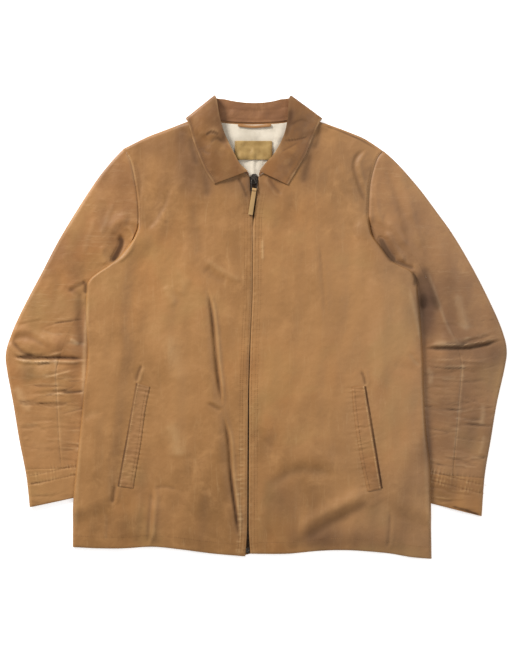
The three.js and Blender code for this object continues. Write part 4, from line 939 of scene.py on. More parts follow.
LEATHER_BODY = leather_finish("body_leather", tone(160, 113, 64), tone(172, 124, 73),
                              tone(138, 96, 50), tone(196, 157, 108), streak=0.24, patches=1.5,
                              run=(2.4, 0.3), greyer_towards_plus_x=0.34)
LEATHER_SLEEVE = leather_finish("sleeve_leather", tone(161, 112, 64), tone(174, 126, 76),
                                tone(138, 93, 50), tone(200, 160, 114), streak=0.34,
                                patches=1.5, greyer_towards_plus_x=0.3)
LEATHER_CUFF = leather_finish("cuff_leather", tone(163, 115, 66), tone(174, 127, 76),
                              tone(136, 94, 52), tone(196, 152, 98), streak=0.2)
LEATHER_COLLAR = leather_finish("collar_leather", tone(142, 96, 51), tone(164, 117, 66),
                                tone(114, 76, 38), tone(188, 146, 98), gloss=0.38)
LEATHER_STAND = leather_finish("collar_inside_leather", tone(134, 89, 53), tone(156, 109, 69),
                               tone(98, 63, 38), tone(184, 138, 92), streak=0.3, patches=1.4)
LEATHER_TRIM = leather_finish("trim_leather", tone(157, 111, 66), tone(172, 126, 78),
                              tone(128, 88, 50), tone(194, 154, 104))


def cloth_finish(name, base, dark, threads, depth):
    """A woven cloth: two crossed sets of threads in the bump, and a little soiling."""
    f = Finish(name, Specular_IOR_Level=0.2, Sheen_Weight=0.15)
    clouds = f.noise(26.0, 4.0, 0.6)
    f.set("Base Color", f.blend(dark, base, clouds.between(0.25, 0.62)))
    f.set("Roughness", 0.85 + 0.08 * clouds)
    across, along = [f.node("ShaderNodeTexWave", {"wave_type": "BANDS", "bands_direction": way},
                            {"Vector": f.place, "Scale": threads, "Distortion": 1.2,
                             "Detail": 1.0}, out="Fac") for way in ("X", "Y")]
    f.bumps((across + along, depth, 0.6), (clouds, 0.0015, 0.2))
    return f.material


LINING_CLOTH = cloth_finish("lining_cloth", tone(226, 214, 194), tone(202, 190, 170), 260.0, 0.0002)
ZIP_CLOTH = cloth_finish("zip_tape_cloth", tone(58, 48, 42), tone(34, 28, 25), 330.0, 0.0003)


def label_finish():
    f = Finish("label_leather", Specular_IOR_Level=0.35)
    clouds = f.noise(60.0, 5.0, 0.6)
    colour = f.blend(tone(146, 114, 62), tone(174, 142, 86), clouds.between(0.3, 0.7))
    f.set("Base Color", colour)
    f.set("Roughness", 0.5 + 0.2 * clouds)
    f.bumps((f.noise(500.0, 3.0, 0.6), 0.0004, 0.4), (clouds, 0.001, 0.2))
    return f.material


def metal_finish(name, base, worn, rough):
    """Aged dark metal: brighter on rubbed spots, with a few scratches."""
    f = Finish(name, Metallic=0.92)
    spots = f.noise(420.0, 4.0, 0.65)
    scratches = f.noise(900.0, 2.0, 0.5, place=f.stretched(1.0, 0.12, turn=0.6))
    colour = f.blend(base, worn, spots.between(0.45, 0.8))
    f.set("Base Color", f.blend(colour, worn, scratches.between(0.6, 0.75) * 0.5))
    f.set("Roughness", rough + 0.2 * spots)
    f.bumps((scratches, 0.0001, 0.3))
    return f.material


DARK_METAL = metal_finish("zip_dark_metal", tone(58, 50, 44), tone(150, 142, 132), 0.3)
TEETH_METAL = metal_finish("zip_teeth_metal", tone(46, 32, 24), tone(116, 98, 80), 0.5)


def thread_finish():
    f = Finish("sewing_thread", Specular_IOR_Level=0.3)
    twist = f.node("ShaderNodeTexWave", {"wave_type": "BANDS", "bands_direction": "DIAGONAL"},
                   {"Vector": f.place, "Scale": 900.0}, out="Fac")
    shades = f.noise(24.0, 2.0, 0.5)
    f.set("Base Color", f.blend(tone(122, 84, 48), tone(164, 122, 76), shades.between(0.3, 0.7)))
    f.set("Roughness", 0.6 + 0.2 * twist)
    f.bumps((twist, 0.0001, 0.5))
    return f.material


THREAD = thread_finish()


def floor_finish():
    f = Finish("pale_floor", Specular_IOR_Level=0.1, Emission_Color=(1, 1, 1, 1),
               Emission_Strength=0.5)
    f.set("Base Color", f.blend((0.93, 0.93, 0.93, 1), (0.96, 0.96, 0.96, 1), f.noise(3.0)))
    f.set("Roughness", 0.9 + 0.05 * f.noise(40.0))
    return f.material


# Panels of the body.


def graded(first, last, pitch, edge=(0, 0.5, 1.2, 2.2, 3.4, 5.0), both=False):
    """Places from one edge to another, closer together at the first, or at both."""
    low = [first + d for d in edge]
    high = [last - d for d in reversed(edge)] if both else [last]
    middle = np.linspace(low[-1], high[0], max(2, int(round((high[0] - low[-1]) / pitch)) + 1))
    return np.concatenate([low[:-1], middle, high[1:]])


def roll(distance, drop, reach):
    """How far an edge is turned down, at a distance in from it."""
    return drop * np.exp(-(np.maximum(distance, 0) / reach) ** 1.6)


FRONT_PITCH = 2.6
FRONT_WIDTH = 290
ZIP_TOP = 262
ROLL_TURNS = np.radians([76, 62, 48, 34, 22, 10, 0])


def spans(at, v):
    """The plan length of each row of a patch."""
    return np.linalg.norm(at(0.0, v) - at(1.0, v), axis=-1)


def stitched(p, line, pitch, height, reach, seed, groove=0.45):
    """What a row of stitches does to the leather: a groove, with small ridges across it."""
    distance, share, _ = nearest(p, line)
    along = share * np.hypot(*np.diff(line, axis=0).T).sum() / pitch
    rng = np.random.default_rng(seed)
    count = int(np.max(along)) + 4
    jitter = np.interp(along, np.arange(count), rng.uniform(-0.3, 0.3, count))
    size = np.interp(along, np.arange(count), rng.uniform(0.2, 1.0, count))
    ridge = size * np.cos(math.tau * (along + jitter)) * np.exp(-(distance / reach) ** 2)
    trough = np.exp(-(distance / 1.3) ** 2)
    # Painted shade in the groove and between the ridges; the ridges and a band beside the row painted pale,
    # partly wear and partly highlight.
    worn = 0.6 * np.maximum(ridge, 0) + 0.25 * np.exp(-((distance - 3) / 1.4) ** 2)
    return height * ridge - groove * trough, 0.45 * trough + 0.3 * np.maximum(-ridge, 0), worn


def zip_rows(side):
    """The rows of stitches beside the zip, from the edge inwards."""
    ys = steps(60, -380, 240)
    edge = zip_x(ys) + side["outwards"] * look_up(ZIP_GAP, ys)
    return [np.column_stack([edge + side["outwards"] * inset, ys]) for inset in ZIP_ROWS]


def hem_row(side):
    return side["hemEdge"](steps(80, 0.05, 0.98)) + np.array([0, HEM_ROW])


def armhole_row(side):
    return inset_line(side["armholeLine"], (0, 200), ARMHOLE_ROW, 0.06, 0.94)


def cuff_rows(side):
    """The two rows round a cuff, from the outer fold to the inner one."""
    a, b = np.array(side["outerFold"][-1]), np.array(side["innerFold"][-1])
    up = np.array([b[1] - a[1], a[0] - b[0]])
    up *= (1 if up[1] > 0 else -1) / np.linalg.norm(up)
    return [np.array([mix(a, b, t) + up * (CUFF_LENGTH - inset) for t in steps(50, -0.02, 1.02)])
            for inset in CUFF_ROWS]


def front_sheet(side):
    start = chain((side["zipEdge"], NECK_SHARE), (side["neckEdge"], 1 - NECK_SHARE))
    at = patch(side["hemEdge"], side["shoulderLine"], start, side["sideOf"])
    height = np.linalg.norm(at(0.5, 0.0) - at(0.5, 1.0))
    flat_rows = graded(0, height - EDGE_ROLL, FRONT_PITCH) / height
    v = np.concatenate([flat_rows, 1 - EDGE_ROLL / height * (1 - np.cos(ROLL_TURNS))])
    turn = np.concatenate([np.full(len(flat_rows), math.pi / 2), ROLL_TURNS])
    width = spans(at, v)
    turned = ease((SIDE_SHARE - v) / TURN_IN)
    columns = int(FRONT_WIDTH / FRONT_PITCH)
    edge = (0, 0.5, 1.1, 1.9, 3.0)
    us, drops = [d / width for d in edge], [np.ones(len(v))] * len(edge)
    for k in range(1, columns + 1):
        us.append(mix(edge[-1] / width, 1 - EDGE_ROLL / width, k / columns))
        drops.append(np.ones(len(v)))
    for angle in ROLL_TURNS:
        sewn = EDGE_ROLL * angle / math.pi * 2 + CLOSE_SEAM / 2
        inset = mix(sewn, EDGE_ROLL * (1 - math.cos(angle)), turned)
        us.append(1 - inset / width)
        drops.append(mix(1, math.sin(angle), turned))
    u, drop = np.stack(us, 1), np.stack(drops, 1)
    p = at(u, v[:, None])
    lift = back_lift(p)
    extra, shade, rub = relief(p)
    from_zip = np.abs(p[..., 0] - zip_x(p[..., 1])) - look_up(ZIP_GAP, p[..., 1])
    from_seam = (1 - u) * width[:, None]
    extra *= ease((from_zip + 2) / 10) * mix(ease(from_seam / SEAM_FADE), 1, turned[:, None])
    low = ease((-130 - p[..., 1]) / 70) if side is RIGHT else 0.25
    rows = [(line, pitch, 0.45, reach, strength)
            for line, pitch, reach, strength in zip(zip_rows(side), (3.6, 7.6, 8.6),
                                                    (2.2, 4.2, 5.0), (0.7, 0.25 + low, low))]
    rows.append((hem_row(side), 9.0, 0.25, 6.0, 0.25))
    rows.append((armhole_row(side), 5.2, 0.2, 3.2, 0.6))
    rows.append((side["pocketBackLine"](steps(40)), 7.6, 0.8, 12.0, 0.8))
    rows.append((side["pocketMouthLine"](steps(40)), 9.0, 0.4, 7.0, 0.7))
    for seed, (line, pitch, tall, reach, strength) in enumerate(rows):
        raised, groove_shade, worn = stitched(p, line, pitch, tall, reach, seed, 0.2)
        extra += raised * (0.4 + 0.6 * strength)
        shade, rub = shade + 0.4 * groove_shade * strength, rub + 0.7 * worn * strength
    top = np.maximum(front_top(p, lift) + extra, lift + DEEPEST)
    top -= roll(from_zip, 1.1, 1.2) * (p[..., 1] < ZIP_TOP)
    top -= roll(hem_distance(p), 1.3, 1.6)
    step = np.maximum(front_top(p, lift) - sleeve_top(p, side, 0.0), 0)
    top -= roll(from_seam - CLOSE_SEAM / 2, 1.5 + 1.12 * step, 2.2) * (1 - turned[:, None])
    z = lift + (top - lift) * drop * np.sin(turn)[:, None]
    grid = np.concatenate([p, z[..., None]], -1)
    edge_wear = 0.12 * np.exp(-(from_zip / 4) ** 2) + 0.3 * np.exp(-(hem_distance(p) / 4) ** 2)
    marks = {"rub": np.clip(rub + edge_wear, 0, 1), "shade": np.clip(shade, 0, 1)}
    return Sheet(grid, LEATHER, side["outwards"], least=back_lift, marks=marks)


def back_sheet():
    sewn, turned_in = 1.8, 2 * LEATHER
    shoulder_inset, neck_inset = 3.3, 1.0
    shoulder_share = 0.31
    right_hem, left_hem = RIGHT["hemEdge"], LEFT["hemEdge"]

    def hem(u):
        u = np.asarray(u, float)
        return np.where((u < 0.5)[..., None], right_hem(np.clip(1 - 2 * u, 0, 1)),
                        left_hem(np.clip(2 * u - 1, 0, 1)))

    top = chain((backwards(RIGHT["shoulderLine"]), shoulder_share),
                (Edge(BACK_NECK), 1 - 2 * shoulder_share),
                (LEFT["shoulderLine"], shoulder_share))
    at = patch(hem, top, RIGHT["sideOf"], LEFT["sideOf"])
    height = np.linalg.norm(at(0.5, 0.0) - at(0.5, 1.0))
    v = np.linspace(0, 1, 125)
    edge = mix(sewn, turned_in, ease((SIDE_SHARE - v) / TURN_IN))
    insets = []
    for side, first in ((RIGHT, 0.0), (LEFT, 1.0)):
        line = side["sideOf"](steps(90))
        shares = np.arange(0, 0.06, 0.0005)
        away = nearest(at(np.abs(first - shares)[None, :], v[:, None]), line)[0]
        insets.append(shares[(away >= edge[:, None]).argmax(1)])
    u = steps(100)[None, :]
    on_neck = np.abs(u - 0.5) < 0.49 - shoulder_share
    fit = ease((v[:, None] - 0.9) / 0.1) * np.where(on_neck, neck_inset, shoulder_inset)
    p = at(mix(insets[0][:, None], 1 - insets[1][:, None], u), v[:, None] - fit / height)
    grid = np.concatenate([p, back_lift(p)[..., None]], -1)
    _, shade, rub = relief(p * np.array([-1, 1]))
    return Sheet(grid, LEATHER, -1, marks={"rub": 0.5 * rub, "shade": 0.4 * shade})


# Sleeves.

SLEEVE_PITCH = 2.3
LOWEST_TOP = 3.2
TUBE_TURNS = np.radians([72, 52, 34, 16, 0, -20, -45, -70])


def sleeve_sheets(side):
    cuff_end = Edge([side["outerFold"][-1], side["innerFold"][-1]])
    at = patch(backwards(side["armholeLine"]), cuff_end, side["outerFoldLine"],
               side["innerFoldLine"])
    length = np.linalg.norm(at(0.4, 0.0) - at(0.4, 1.0))
    cuff_start = 1 - CUFF_LENGTH / length

    def section(v, ends):
        v = v[:, None]
        width = spans(at, v[:, 0])[:, None]
        seam = look_up([(i / 4, place) for i, place in enumerate(side["frontSeam"])], v)

        def top(u, with_marks=False):
            p = at(u, v)
            extra, shade, rub = relief(p, SLEEVE_CREASES)
            for seed, line in enumerate(cuff_rows(side)):
                raised, groove_shade, worn = stitched(p, line, 6.2, 0.7, 9.0, seed + 9, 0.5)
                extra, shade, rub = extra + raised, shade + 0.8 * groove_shade, rub + worn
            extra *= ease(v * length / SEAM_FADE)
            dip = roll(np.abs(u - seam) * width, 0.04 + 0.7 * ease((v - 0.52) / 0.08), 1.4)
            dip *= v < cuff_start
            z = np.maximum(sleeve_top(p, side, v * length) + extra, DEEPEST) - dip
            for place, drop in ends:
                z -= roll(np.abs(v - place) * length, drop, 1.8)
            z = np.maximum(z, LOWEST_TOP)
            grid = np.concatenate([p, z[..., None]], -1)
            return (grid, np.clip(shade, 0, 1), np.clip(rub, 0, 1)) if with_marks else grid

        def floor(u):
            p = at(u, v)
            return np.concatenate([p, np.zeros(p.shape[:-1] + (1,))], -1)

        def fold(outer, angle):
            edge = EDGE_ROLL / width if outer else 1 - EDGE_ROLL / width
            half = top(edge)[..., 2] / 2
            inset = EDGE_ROLL / width * (1 - math.cos(angle))
            p = at(inset if outer else 1 - inset, v)
            return np.concatenate([p, (half * (1 + math.sin(angle)))[..., None]], -1)
        return top, floor, fold, width, seam

    def join(parts):
        """Columns of points side by side, with the painted shade, wear and painted highlight of those on
        top.
        """
        grid = np.concatenate([part[0] for part in parts], 1)
        shade = np.concatenate([part[1] for part in parts], 1)
        rub = np.concatenate([part[2] for part in parts], 1)
        return grid, {"rub": rub, "shade": shade}

    def bare(grid, worn=0.0):
        none = np.zeros(grid.shape[:2])
        return grid, none, none + worn

    def row_shares(first, last, edge, pitch, width):
        count = int(np.max(np.abs(last - first) * width) / pitch) + 1
        places = np.array(edge)[None, :] * np.sign(last - first) / width
        start = first + places
        rest = [mix(start[:, -1:], last, k / count) for k in range(1, count + 1)]
        return np.concatenate([start, *rest], 1)

    ends = [(CLOSE_SEAM / length, 1.5), (cuff_start - CLOSE_SEAM / 2 / length, 0.5)]
    v = graded(CLOSE_SEAM, cuff_start * length - CLOSE_SEAM / 2, SLEEVE_PITCH,
               edge=(0, 0.9, 2.0, 3.6), both=True) / length
    top, floor, fold, width, seam = section(v, ends)
    edge = (0, 0.6, 1.3, 2.4, 4.0)
    share = EDGE_ROLL / width
    first = seam - CLOSE_SEAM / 2 / width
    # The folded outer edge is painted pale, partly wear and partly highlight.
    upper = join([top(row_shares(first, share, edge, SLEEVE_PITCH, width), True)]
                 + [bare(fold(True, angle), 0.25) for angle in TUBE_TURNS]
                 + [bare(floor(row_shares(share, HIND_SEAM - SEAM_GAP / width, (0,), 8, width)))])
    first = np.minimum(seam, 1 - 2 * share) + CLOSE_SEAM / 2 / width
    under = join([top(row_shares(first, 1 - share, (0, 0.6, 1.3, 2.4, 3.4), SLEEVE_PITCH, width),
                      True)]
                 + [bare(fold(False, angle)) for angle in TUBE_TURNS]
                 + [bare(floor(row_shares(1 - share, HIND_SEAM + SEAM_GAP / width, (0,), 8,
                                          width)))])
    cuff_v = graded(cuff_start * length + CLOSE_SEAM / 2, length, 2.0, edge=(0, 0.7, 1.5, 2.6),
                    both=True) / length
    ends = [(cuff_start + CLOSE_SEAM / 2 / length, 0.5), (1.0, 1.3)]
    top, floor, fold, width, seam = section(cuff_v, ends)
    share = EDGE_ROLL / width
    whole = top(row_shares(1 - share, share, (0,), 2.6, width), True)
    # The cuff's folded outer edge is painted pale, partly wear and partly highlight.
    cuff = join([whole] + [bare(fold(True, angle), 0.3) for angle in TUBE_TURNS]
                + [bare(floor(row_shares(share, 1 - share, (0,), 7, width)))]
                + [bare(fold(False, angle)) for angle in TUBE_TURNS[::-1]])
    out = side["outwards"]
    return (Sheet(upper[0], LEATHER, -out, marks=upper[1]),
            Sheet(under[0], LEATHER, out, marks=under[1]),
            Sheet(cuff[0], LEATHER, -out, ring=True, marks=cuff[1]))


# Collar.

BAND_PITCH = 3.4
LEAF_LENGTH, BACK_LENGTH = 150, 180
COLLAR_TURNS = np.radians([70, 52, 34, 16, 0, -16, -34, -52, -70])


def drawn_in(edge, side, bend, near):
    corner, tip = np.array(side["roll"][-1]), np.array(side["leafEdge"][-1])
    along = (tip - corner) / np.linalg.norm(tip - corner)
    inwards = np.array([along[1] * side["outwards"], -along[0] * side["outwards"]])
    return lambda t: edge(t) + inwards * (bend * near(t))[..., None]


def band(sides, back, crossings, bend, drawn, facing, front_z, back_z, marks):
    def column(low, high, z, t):
        w = crossings[None, :]
        p = low(t)[:, None] * (1 - w[..., None]) + high(t)[:, None] * w[..., None]
        return np.concatenate([p, np.broadcast_to(z(p, w), p.shape[:-1])[..., None]], -1)

    def near_corner(t):
        return ease((t - 0.7) / 0.3)

    def near_ends(side):
        def at(t):
            here = (t < 0.5) == (side["outwards"] < 0)
            return np.where(here, ease((np.abs(t - 0.5) - 0.34) / 0.16), 0)
        return at

    def leaf(side, k, t):
        return column(drawn_in(sides[k][0], side, drawn, near_corner),
                      drawn_in(sides[k][1], side, drawn, near_corner), front_z, t)

    def back_edge(edge):
        right = drawn_in(edge, RIGHT, drawn, near_ends(RIGHT))
        left = drawn_in(edge, LEFT, drawn, near_ends(LEFT))
        return lambda t: np.where((t < 0.5)[:, None], right(t), left(t))

    def turn(start, end, side):
        along = (start[-1] - start[0]) * np.array([1, 1, 0])
        along /= np.linalg.norm(along)
        away = np.array([-along[1], along[0], 0])
        if away[0] * side["outwards"] < 0:
            away = -away
        return np.stack([mix(start, end, (1 - math.sin(a)) / 2) + away * bend * math.cos(a)
                         for a in COLLAR_TURNS])

    t = steps(int(LEAF_LENGTH / BAND_PITCH))
    right = leaf(RIGHT, 0, t)
    middle = column(back_edge(back[0]), back_edge(back[1]), back_z,
                    steps(int(BACK_LENGTH / BAND_PITCH)))
    left = leaf(LEFT, 1, t[::-1])
    grid = np.concatenate([right, turn(right[-1], middle[0], RIGHT), middle,
                           turn(left[0], middle[-1], LEFT)[::-1], left])
    return Sheet(grid, LEATHER, facing, marks=marks(grid))


def collar_fall():
    cross = np.concatenate([[0, 0.012, 0.03], np.linspace(0.055, 0.945, 26), [0.965, 0.982, 1]])

    def z(p, w):
        extra = relief(p, LEAF_CREASES)[0]
        over_stand = (STAND_TOP - 0.6) * ease((0.85 - w) / 0.3)
        height = front_top(p) + LEATHER + 1.2 + over_stand + ROLL_RISE * (1 - w) ** 2
        tip = np.exp(-((w - 0.93) / 0.02) ** 2) * 0.35
        return height + 0.3 * BUCKLING(p) + extra - 1.1 * np.exp(-((1 - w) / 0.018)) - tip

    def marks(grid):
        w = cross[None, :] * np.ones((grid.shape[0], 1))
        p = grid[..., :2]
        _, shade, rub = relief(p, LEAF_CREASES)
        # Both long edges of the leaf painted pale, partly wear and partly highlight.
        rub += 0.45 * np.exp(-((1 - w) / 0.05) ** 2) + 0.35 * np.exp(-(w / 0.06) ** 2)
        rub += 0.25 * np.clip(BUCKLING(p * 1.4), 0, 1)
        # Painted shade in the groove near the leaf's edge, and more towards the roll and the neck.
        shade += 0.4 * np.exp(-((w - 0.93) / 0.03) ** 2)
        shade += 0.55 * ease((p[..., 1] - 285) / 70) * (1 - w)
        return {"rub": np.clip(rub, 0, 1), "shade": np.clip(shade, 0, 1)}

    leaves = [(side["rollLine"], side["leafEdgeLine"]) for side in (RIGHT, LEFT)]
    return band(leaves, (Edge(ROLL_BACK), Edge(FALL_BACK_EDGE)), cross, FALL_BEND, FALL_BEND, -1, z,
                lambda p, w: np.zeros(p.shape[:-1]), marks)


def stand_edges(side):
    """The stand's lower and upper edges in front."""
    def foot(t):
        a, b = side["neckEdge"](t), side["rollLine"](t)
        return a + (b - a) * (0.04 + 0.06 * t)[..., None]

    def head(t):
        p = side["rollLine"](t)
        away = side["neckEdge"](t) - p
        return p + away / np.linalg.norm(away, axis=-1, keepdims=True) * STAND_INSET
    return foot, head


def collar_stand():
    back = (lambda t: Edge(BACK_NECK)(t) + np.array([0, STAND_INSET]),
            lambda t: Edge(ROLL_BACK)(t) - np.array([0, STAND_INSET]))
    cross = steps(16)

    def back_z(p, w):
        line = np.exp(-((w - 0.62) / 0.03) ** 2) + np.exp(-((w - 0.12) / 0.03) ** 2)
        return COLLAR_LIFT + 1.2 * ease(w) + 0.5 * BUCKLING(p * 1.5) * w * (1 - w) * 4 - 0.4 * line

    def marks(grid):
        w = cross[None, :] * np.ones((grid.shape[0], 1))
        # Painted shade at the stand's foot and in its groove; its top edge painted pale, partly wear and
        # partly highlight.
        shade = 0.5 * np.exp(-(w / 0.12) ** 2) + 0.35 * np.exp(-((w - 0.62) / 0.035) ** 2)
        return {"rub": 0.5 * np.exp(-((1 - w) / 0.12) ** 2), "shade": shade}

    return band([stand_edges(RIGHT), stand_edges(LEFT)], back, cross, STAND_BEND,
                STAND_BEND + LEATHER + 2 * SEAM_GAP, 1,
                lambda p, w: front_top(p) + STAND_TOP, back_z, marks)


# What lies on the panels.


def overlay(lines, trees, clearance, thickness, counts, facing, edge_drop=0.7, marks=None,
            extra=None):
    first, second = lines
    across_places = counts[1] if np.ndim(counts[1]) else steps(counts[1])
    t, w = steps(counts[0])[:, None], across_places[None, :]
    p = first(t) * (1 - w)[..., None] + second(t) * w[..., None]
    base = height_over(trees, p)
    length = np.linalg.norm(np.diff(first(steps(20)), axis=0), axis=-1).sum()
    across = np.linalg.norm(first(0.5) - second(0.5))
    rim = np.minimum(np.minimum(t, 1 - t) * length, np.minimum(w, 1 - w) * across)
    z = base + clearance + thickness - roll(rim, edge_drop, 1.0)
    if extra is not None:
        z = z + extra(t, w, p)
    grid = np.concatenate([p, z[..., None]], -1)
    return Sheet(grid, thickness, facing, marks=marks(t, w, p) if marks else None)


def run_on(trees, line, lift):
    """Points of a plan line laid on some meshes."""
    line = np.asarray(line, float)
    return np.column_stack([line, height_over(trees, line) + lift])


def path_points(line):
    """A plan line's points, evenly spaced."""
    lengths = np.concatenate([[0], np.cumsum(np.hypot(*np.diff(line, axis=0).T))])
    places = np.linspace(0, lengths[-1], max(2, int(lengths[-1] / 2.5)))
    return np.column_stack([np.interp(places, lengths, line[:, k]) for k in (0, 1)])


def inset_line(edge, toward, distance, first, last):
    """A line beside an edge, moved to one side by a distance."""
    points = edge(steps(80, first, last))
    along = np.gradient(points, axis=0)
    side = np.column_stack([-along[:, 1], along[:, 0]])
    side /= np.linalg.norm(side, axis=-1, keepdims=True)
    if ((np.asarray(toward) - points.mean(0)) * side.mean(0)).sum() < 0:
        side = -side
    return points + side * distance


# Geometry Nodes for what repeats along a line.


def line_object(name, lines):
    """Polylines as one mesh of edges, in metres."""
    points, edges, start = [], [], 0
    for line in lines:
        points += [tuple(p) for p in (np.asarray(line) + SHIFT) / 1000]
        edges += [(start + k, start + k + 1) for k in range(len(line) - 1)]
        start += len(line)
    mesh = bpy.data.meshes.new(name)
    mesh.from_pydata(points, edges, [])
    return placed(name, mesh)


class Repeat(Tree):
    """A Geometry Nodes tree with named size inputs, whose result becomes a plain mesh."""

    def __init__(self, name, **sizes):
        group = bpy.data.node_groups.new(name, "GeometryNodeTree")
        group.is_modifier = True
        super().__init__(group)
        group.interface.new_socket("Lines", in_out="INPUT", socket_type="NodeSocketGeometry")
        self.sizes = sizes
        self.ids = {}
        for key in sizes:
            made = group.interface.new_socket(key, in_out="INPUT", socket_type="NodeSocketFloat")
            self.ids[key] = made.identifier
        group.interface.new_socket("Made", in_out="OUTPUT", socket_type="NodeSocketGeometry")
        self.inputs = self.tree.nodes.new("NodeGroupInput")

    def size(self, key):
        return Socket(self, self.inputs.outputs[key])

    def end(self, instances, material):
        made = self.node("GeometryNodeRealizeInstances", None, {0: instances})
        made = self.node("GeometryNodeSetShadeSmooth", None, {0: made})
        made = self.node("GeometryNodeSetMaterial", None, {0: made, "Material": material})
        output = self.tree.nodes.new("NodeGroupOutput")
        self.tree.links.new(made.socket, output.inputs[0])

    def apply(self, obj, name):
        modifier = obj.modifiers.new(name, "NODES")
        modifier.node_group = self.tree
        for key, value in self.sizes.items():
            modifier[self.ids[key]] = value
        graph = bpy.context.evaluated_depsgraph_get()
        mesh = bpy.data.meshes.new_from_object(obj.evaluated_get(graph))
        obj.modifiers.clear()
        bpy.data.objects.remove(obj)
        return placed(name, mesh)


def points_along(tree, pitch):
    """A line's evenly spaced points, and the turn that lays X along it."""
    curve = tree.node("GeometryNodeMeshToCurve", None, {0: tree.size("Lines")})
    points = tree.node("GeometryNodeResampleCurve", {"mode": "LENGTH"},
                       {"Curve": curve, "Length": tree.size(pitch)})
    tangent = tree.node("GeometryNodeInputTangent")
    turn = tree.node("FunctionNodeAlignEulerToVector", {"axis": "X", "pivot_axis": "Z"},
                     {"Vector": tangent})
    return points, turn


STITCH_SEED = 4


def stitches(name, lines, length=2.4, thickness=0.5, pitch=3.3):
    """A row of thread stitches along each line."""
    tree = Repeat(name + "_nodes", Pitch=pitch / 1000, Length=length / 1000,
                  Thickness=thickness / 1000)
    points, turn = points_along(tree, "Pitch")
    ball = tree.node("GeometryNodeMeshUVSphere", None, {"Segments": 6, "Rings": 4, "Radius": 0.5})
    size = tree.node("ShaderNodeCombineXYZ", None,
                     {0: tree.size("Length"), 1: tree.size("Thickness"),
                      2: tree.size("Thickness")})
    ball = tree.node("GeometryNodeTransform", None, {"Geometry": ball, "Scale": size})
    vary = tree.node("FunctionNodeRandomValue", {"data_type": "FLOAT_VECTOR"},
                     {0: (0.86, 0.9, 0.9), 1: (1.05, 1.1, 1.1), "Seed": STITCH_SEED})
    tree.end(tree.node("GeometryNodeInstanceOnPoints", None,
                       {"Points": points, "Instance": ball, "Rotation": turn, "Scale": vary}),
             THREAD)
    made = tree.apply(line_object(name + "_line", lines), name)
    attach(made, "garment")
    return made


def zip_chain(name, line):
    """Metal teeth in two rows that mesh, along the middle of the zip."""
    tree = Repeat(name + "_nodes", Pitch=0.0026, Tooth_Width=0.0031, Tooth_Length=0.0013,
                  Tooth_Height=0.0014, Offset=0.0009)
    points, turn = points_along(tree, "Pitch")
    size = tree.node("ShaderNodeCombineXYZ", None, {0: tree.size("Tooth_Length"),
                                                    1: tree.size("Tooth_Width"),
                                                    2: tree.size("Tooth_Height")})
    block = tree.node("GeometryNodeMeshCube", None, {"Size": size})
    cap_size = tree.node("ShaderNodeCombineXYZ", None,
                         {0: tree.size("Tooth_Length") * 0.62, 1: tree.size("Tooth_Width") * 0.4,
                          2: tree.size("Tooth_Height") * 1.16})
    cap = tree.node("GeometryNodeMeshCube", None, {"Size": cap_size})
    tooth = tree.node("GeometryNodeJoinGeometry", None, {0: block})
    tree.tree.links.new(cap.socket, tooth.socket.node.inputs[0])
    rows = []
    for way in (1, -1):
        along = tree.size("Pitch") * (0.25 * way)
        shift = tree.node("ShaderNodeCombineXYZ", None, {0: along, 1: tree.size("Offset") * way})
        rows.append(tree.node("GeometryNodeTransform", None,
                              {"Geometry": tooth, "Translation": shift}))
    pair = tree.node("GeometryNodeJoinGeometry", None, {0: rows[0]})
    tree.tree.links.new(rows[1].socket, pair.socket.node.inputs[0])
    tree.end(tree.node("GeometryNodeInstanceOnPoints", None,
                       {"Points": points, "Instance": pair, "Rotation": turn}), TEETH_METAL)
    made = tree.apply(line_object(name + "_line", [line]), name)
    made.data.polygons.foreach_set("use_smooth", np.zeros(len(made.data.polygons), bool))
    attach(made, "garment")
    return made


# The garment, put together.

back_piece = dress("back_leather", back_sheet(), LEATHER_BODY, "back")
fronts, uppers, unders, cuffs = {}, {}, {}, {}
for word, side in SIDES:
    fronts[word] = dress(f"front_leather_{word}", front_sheet(side), LEATHER_BODY,
                         f"front_{word}")
    upper, under, cuff = sleeve_sheets(side)
    uppers[word] = dress(f"sleeve_upper_leather_{word}", upper, LEATHER_SLEEVE,
                         f"sleeve_upper_{word}")
    unders[word] = dress(f"sleeve_under_leather_{word}", under, LEATHER_SLEEVE,
                         f"sleeve_under_{word}")
    cuffs[word] = dress(f"cuff_leather_{word}", cuff, LEATHER_CUFF,
                        f"cuff_{word}")
front_trees = [tree_of(o) for o in fronts.values()]
fall_piece = dress("collar_fall_leather", collar_fall(), LEATHER_COLLAR,
                   "collar_fall")
stand_piece = dress("collar_stand_leather", collar_stand(), LEATHER_STAND,
                    "collar_stand")

# Pocket welts.

WELT_LENGTH, WELT_WIDTH = 180, 26
RIDGE_PITCH = 7.4
WELT_ACROSS = np.concatenate([[0, 0.02, 0.045, 0.07, 0.1], np.linspace(0.14, 0.96, 18), [1]])


def welt_rim(t, w):
    return np.minimum(np.minimum(t, 1 - t) * WELT_LENGTH, (1 - w) * WELT_WIDTH)


def welt_ridges(t, p):
    """Uneven small ridges across a welt, above 0 where the leather is raised."""
    size = 0.45 + 0.35 * np.sin(t * 37) + 0.25 * np.sin(t * 83 + 1)
    return size * np.cos(math.tau * t * WELT_LENGTH / RIDGE_PITCH + 1.1 * RUMPLE(p))


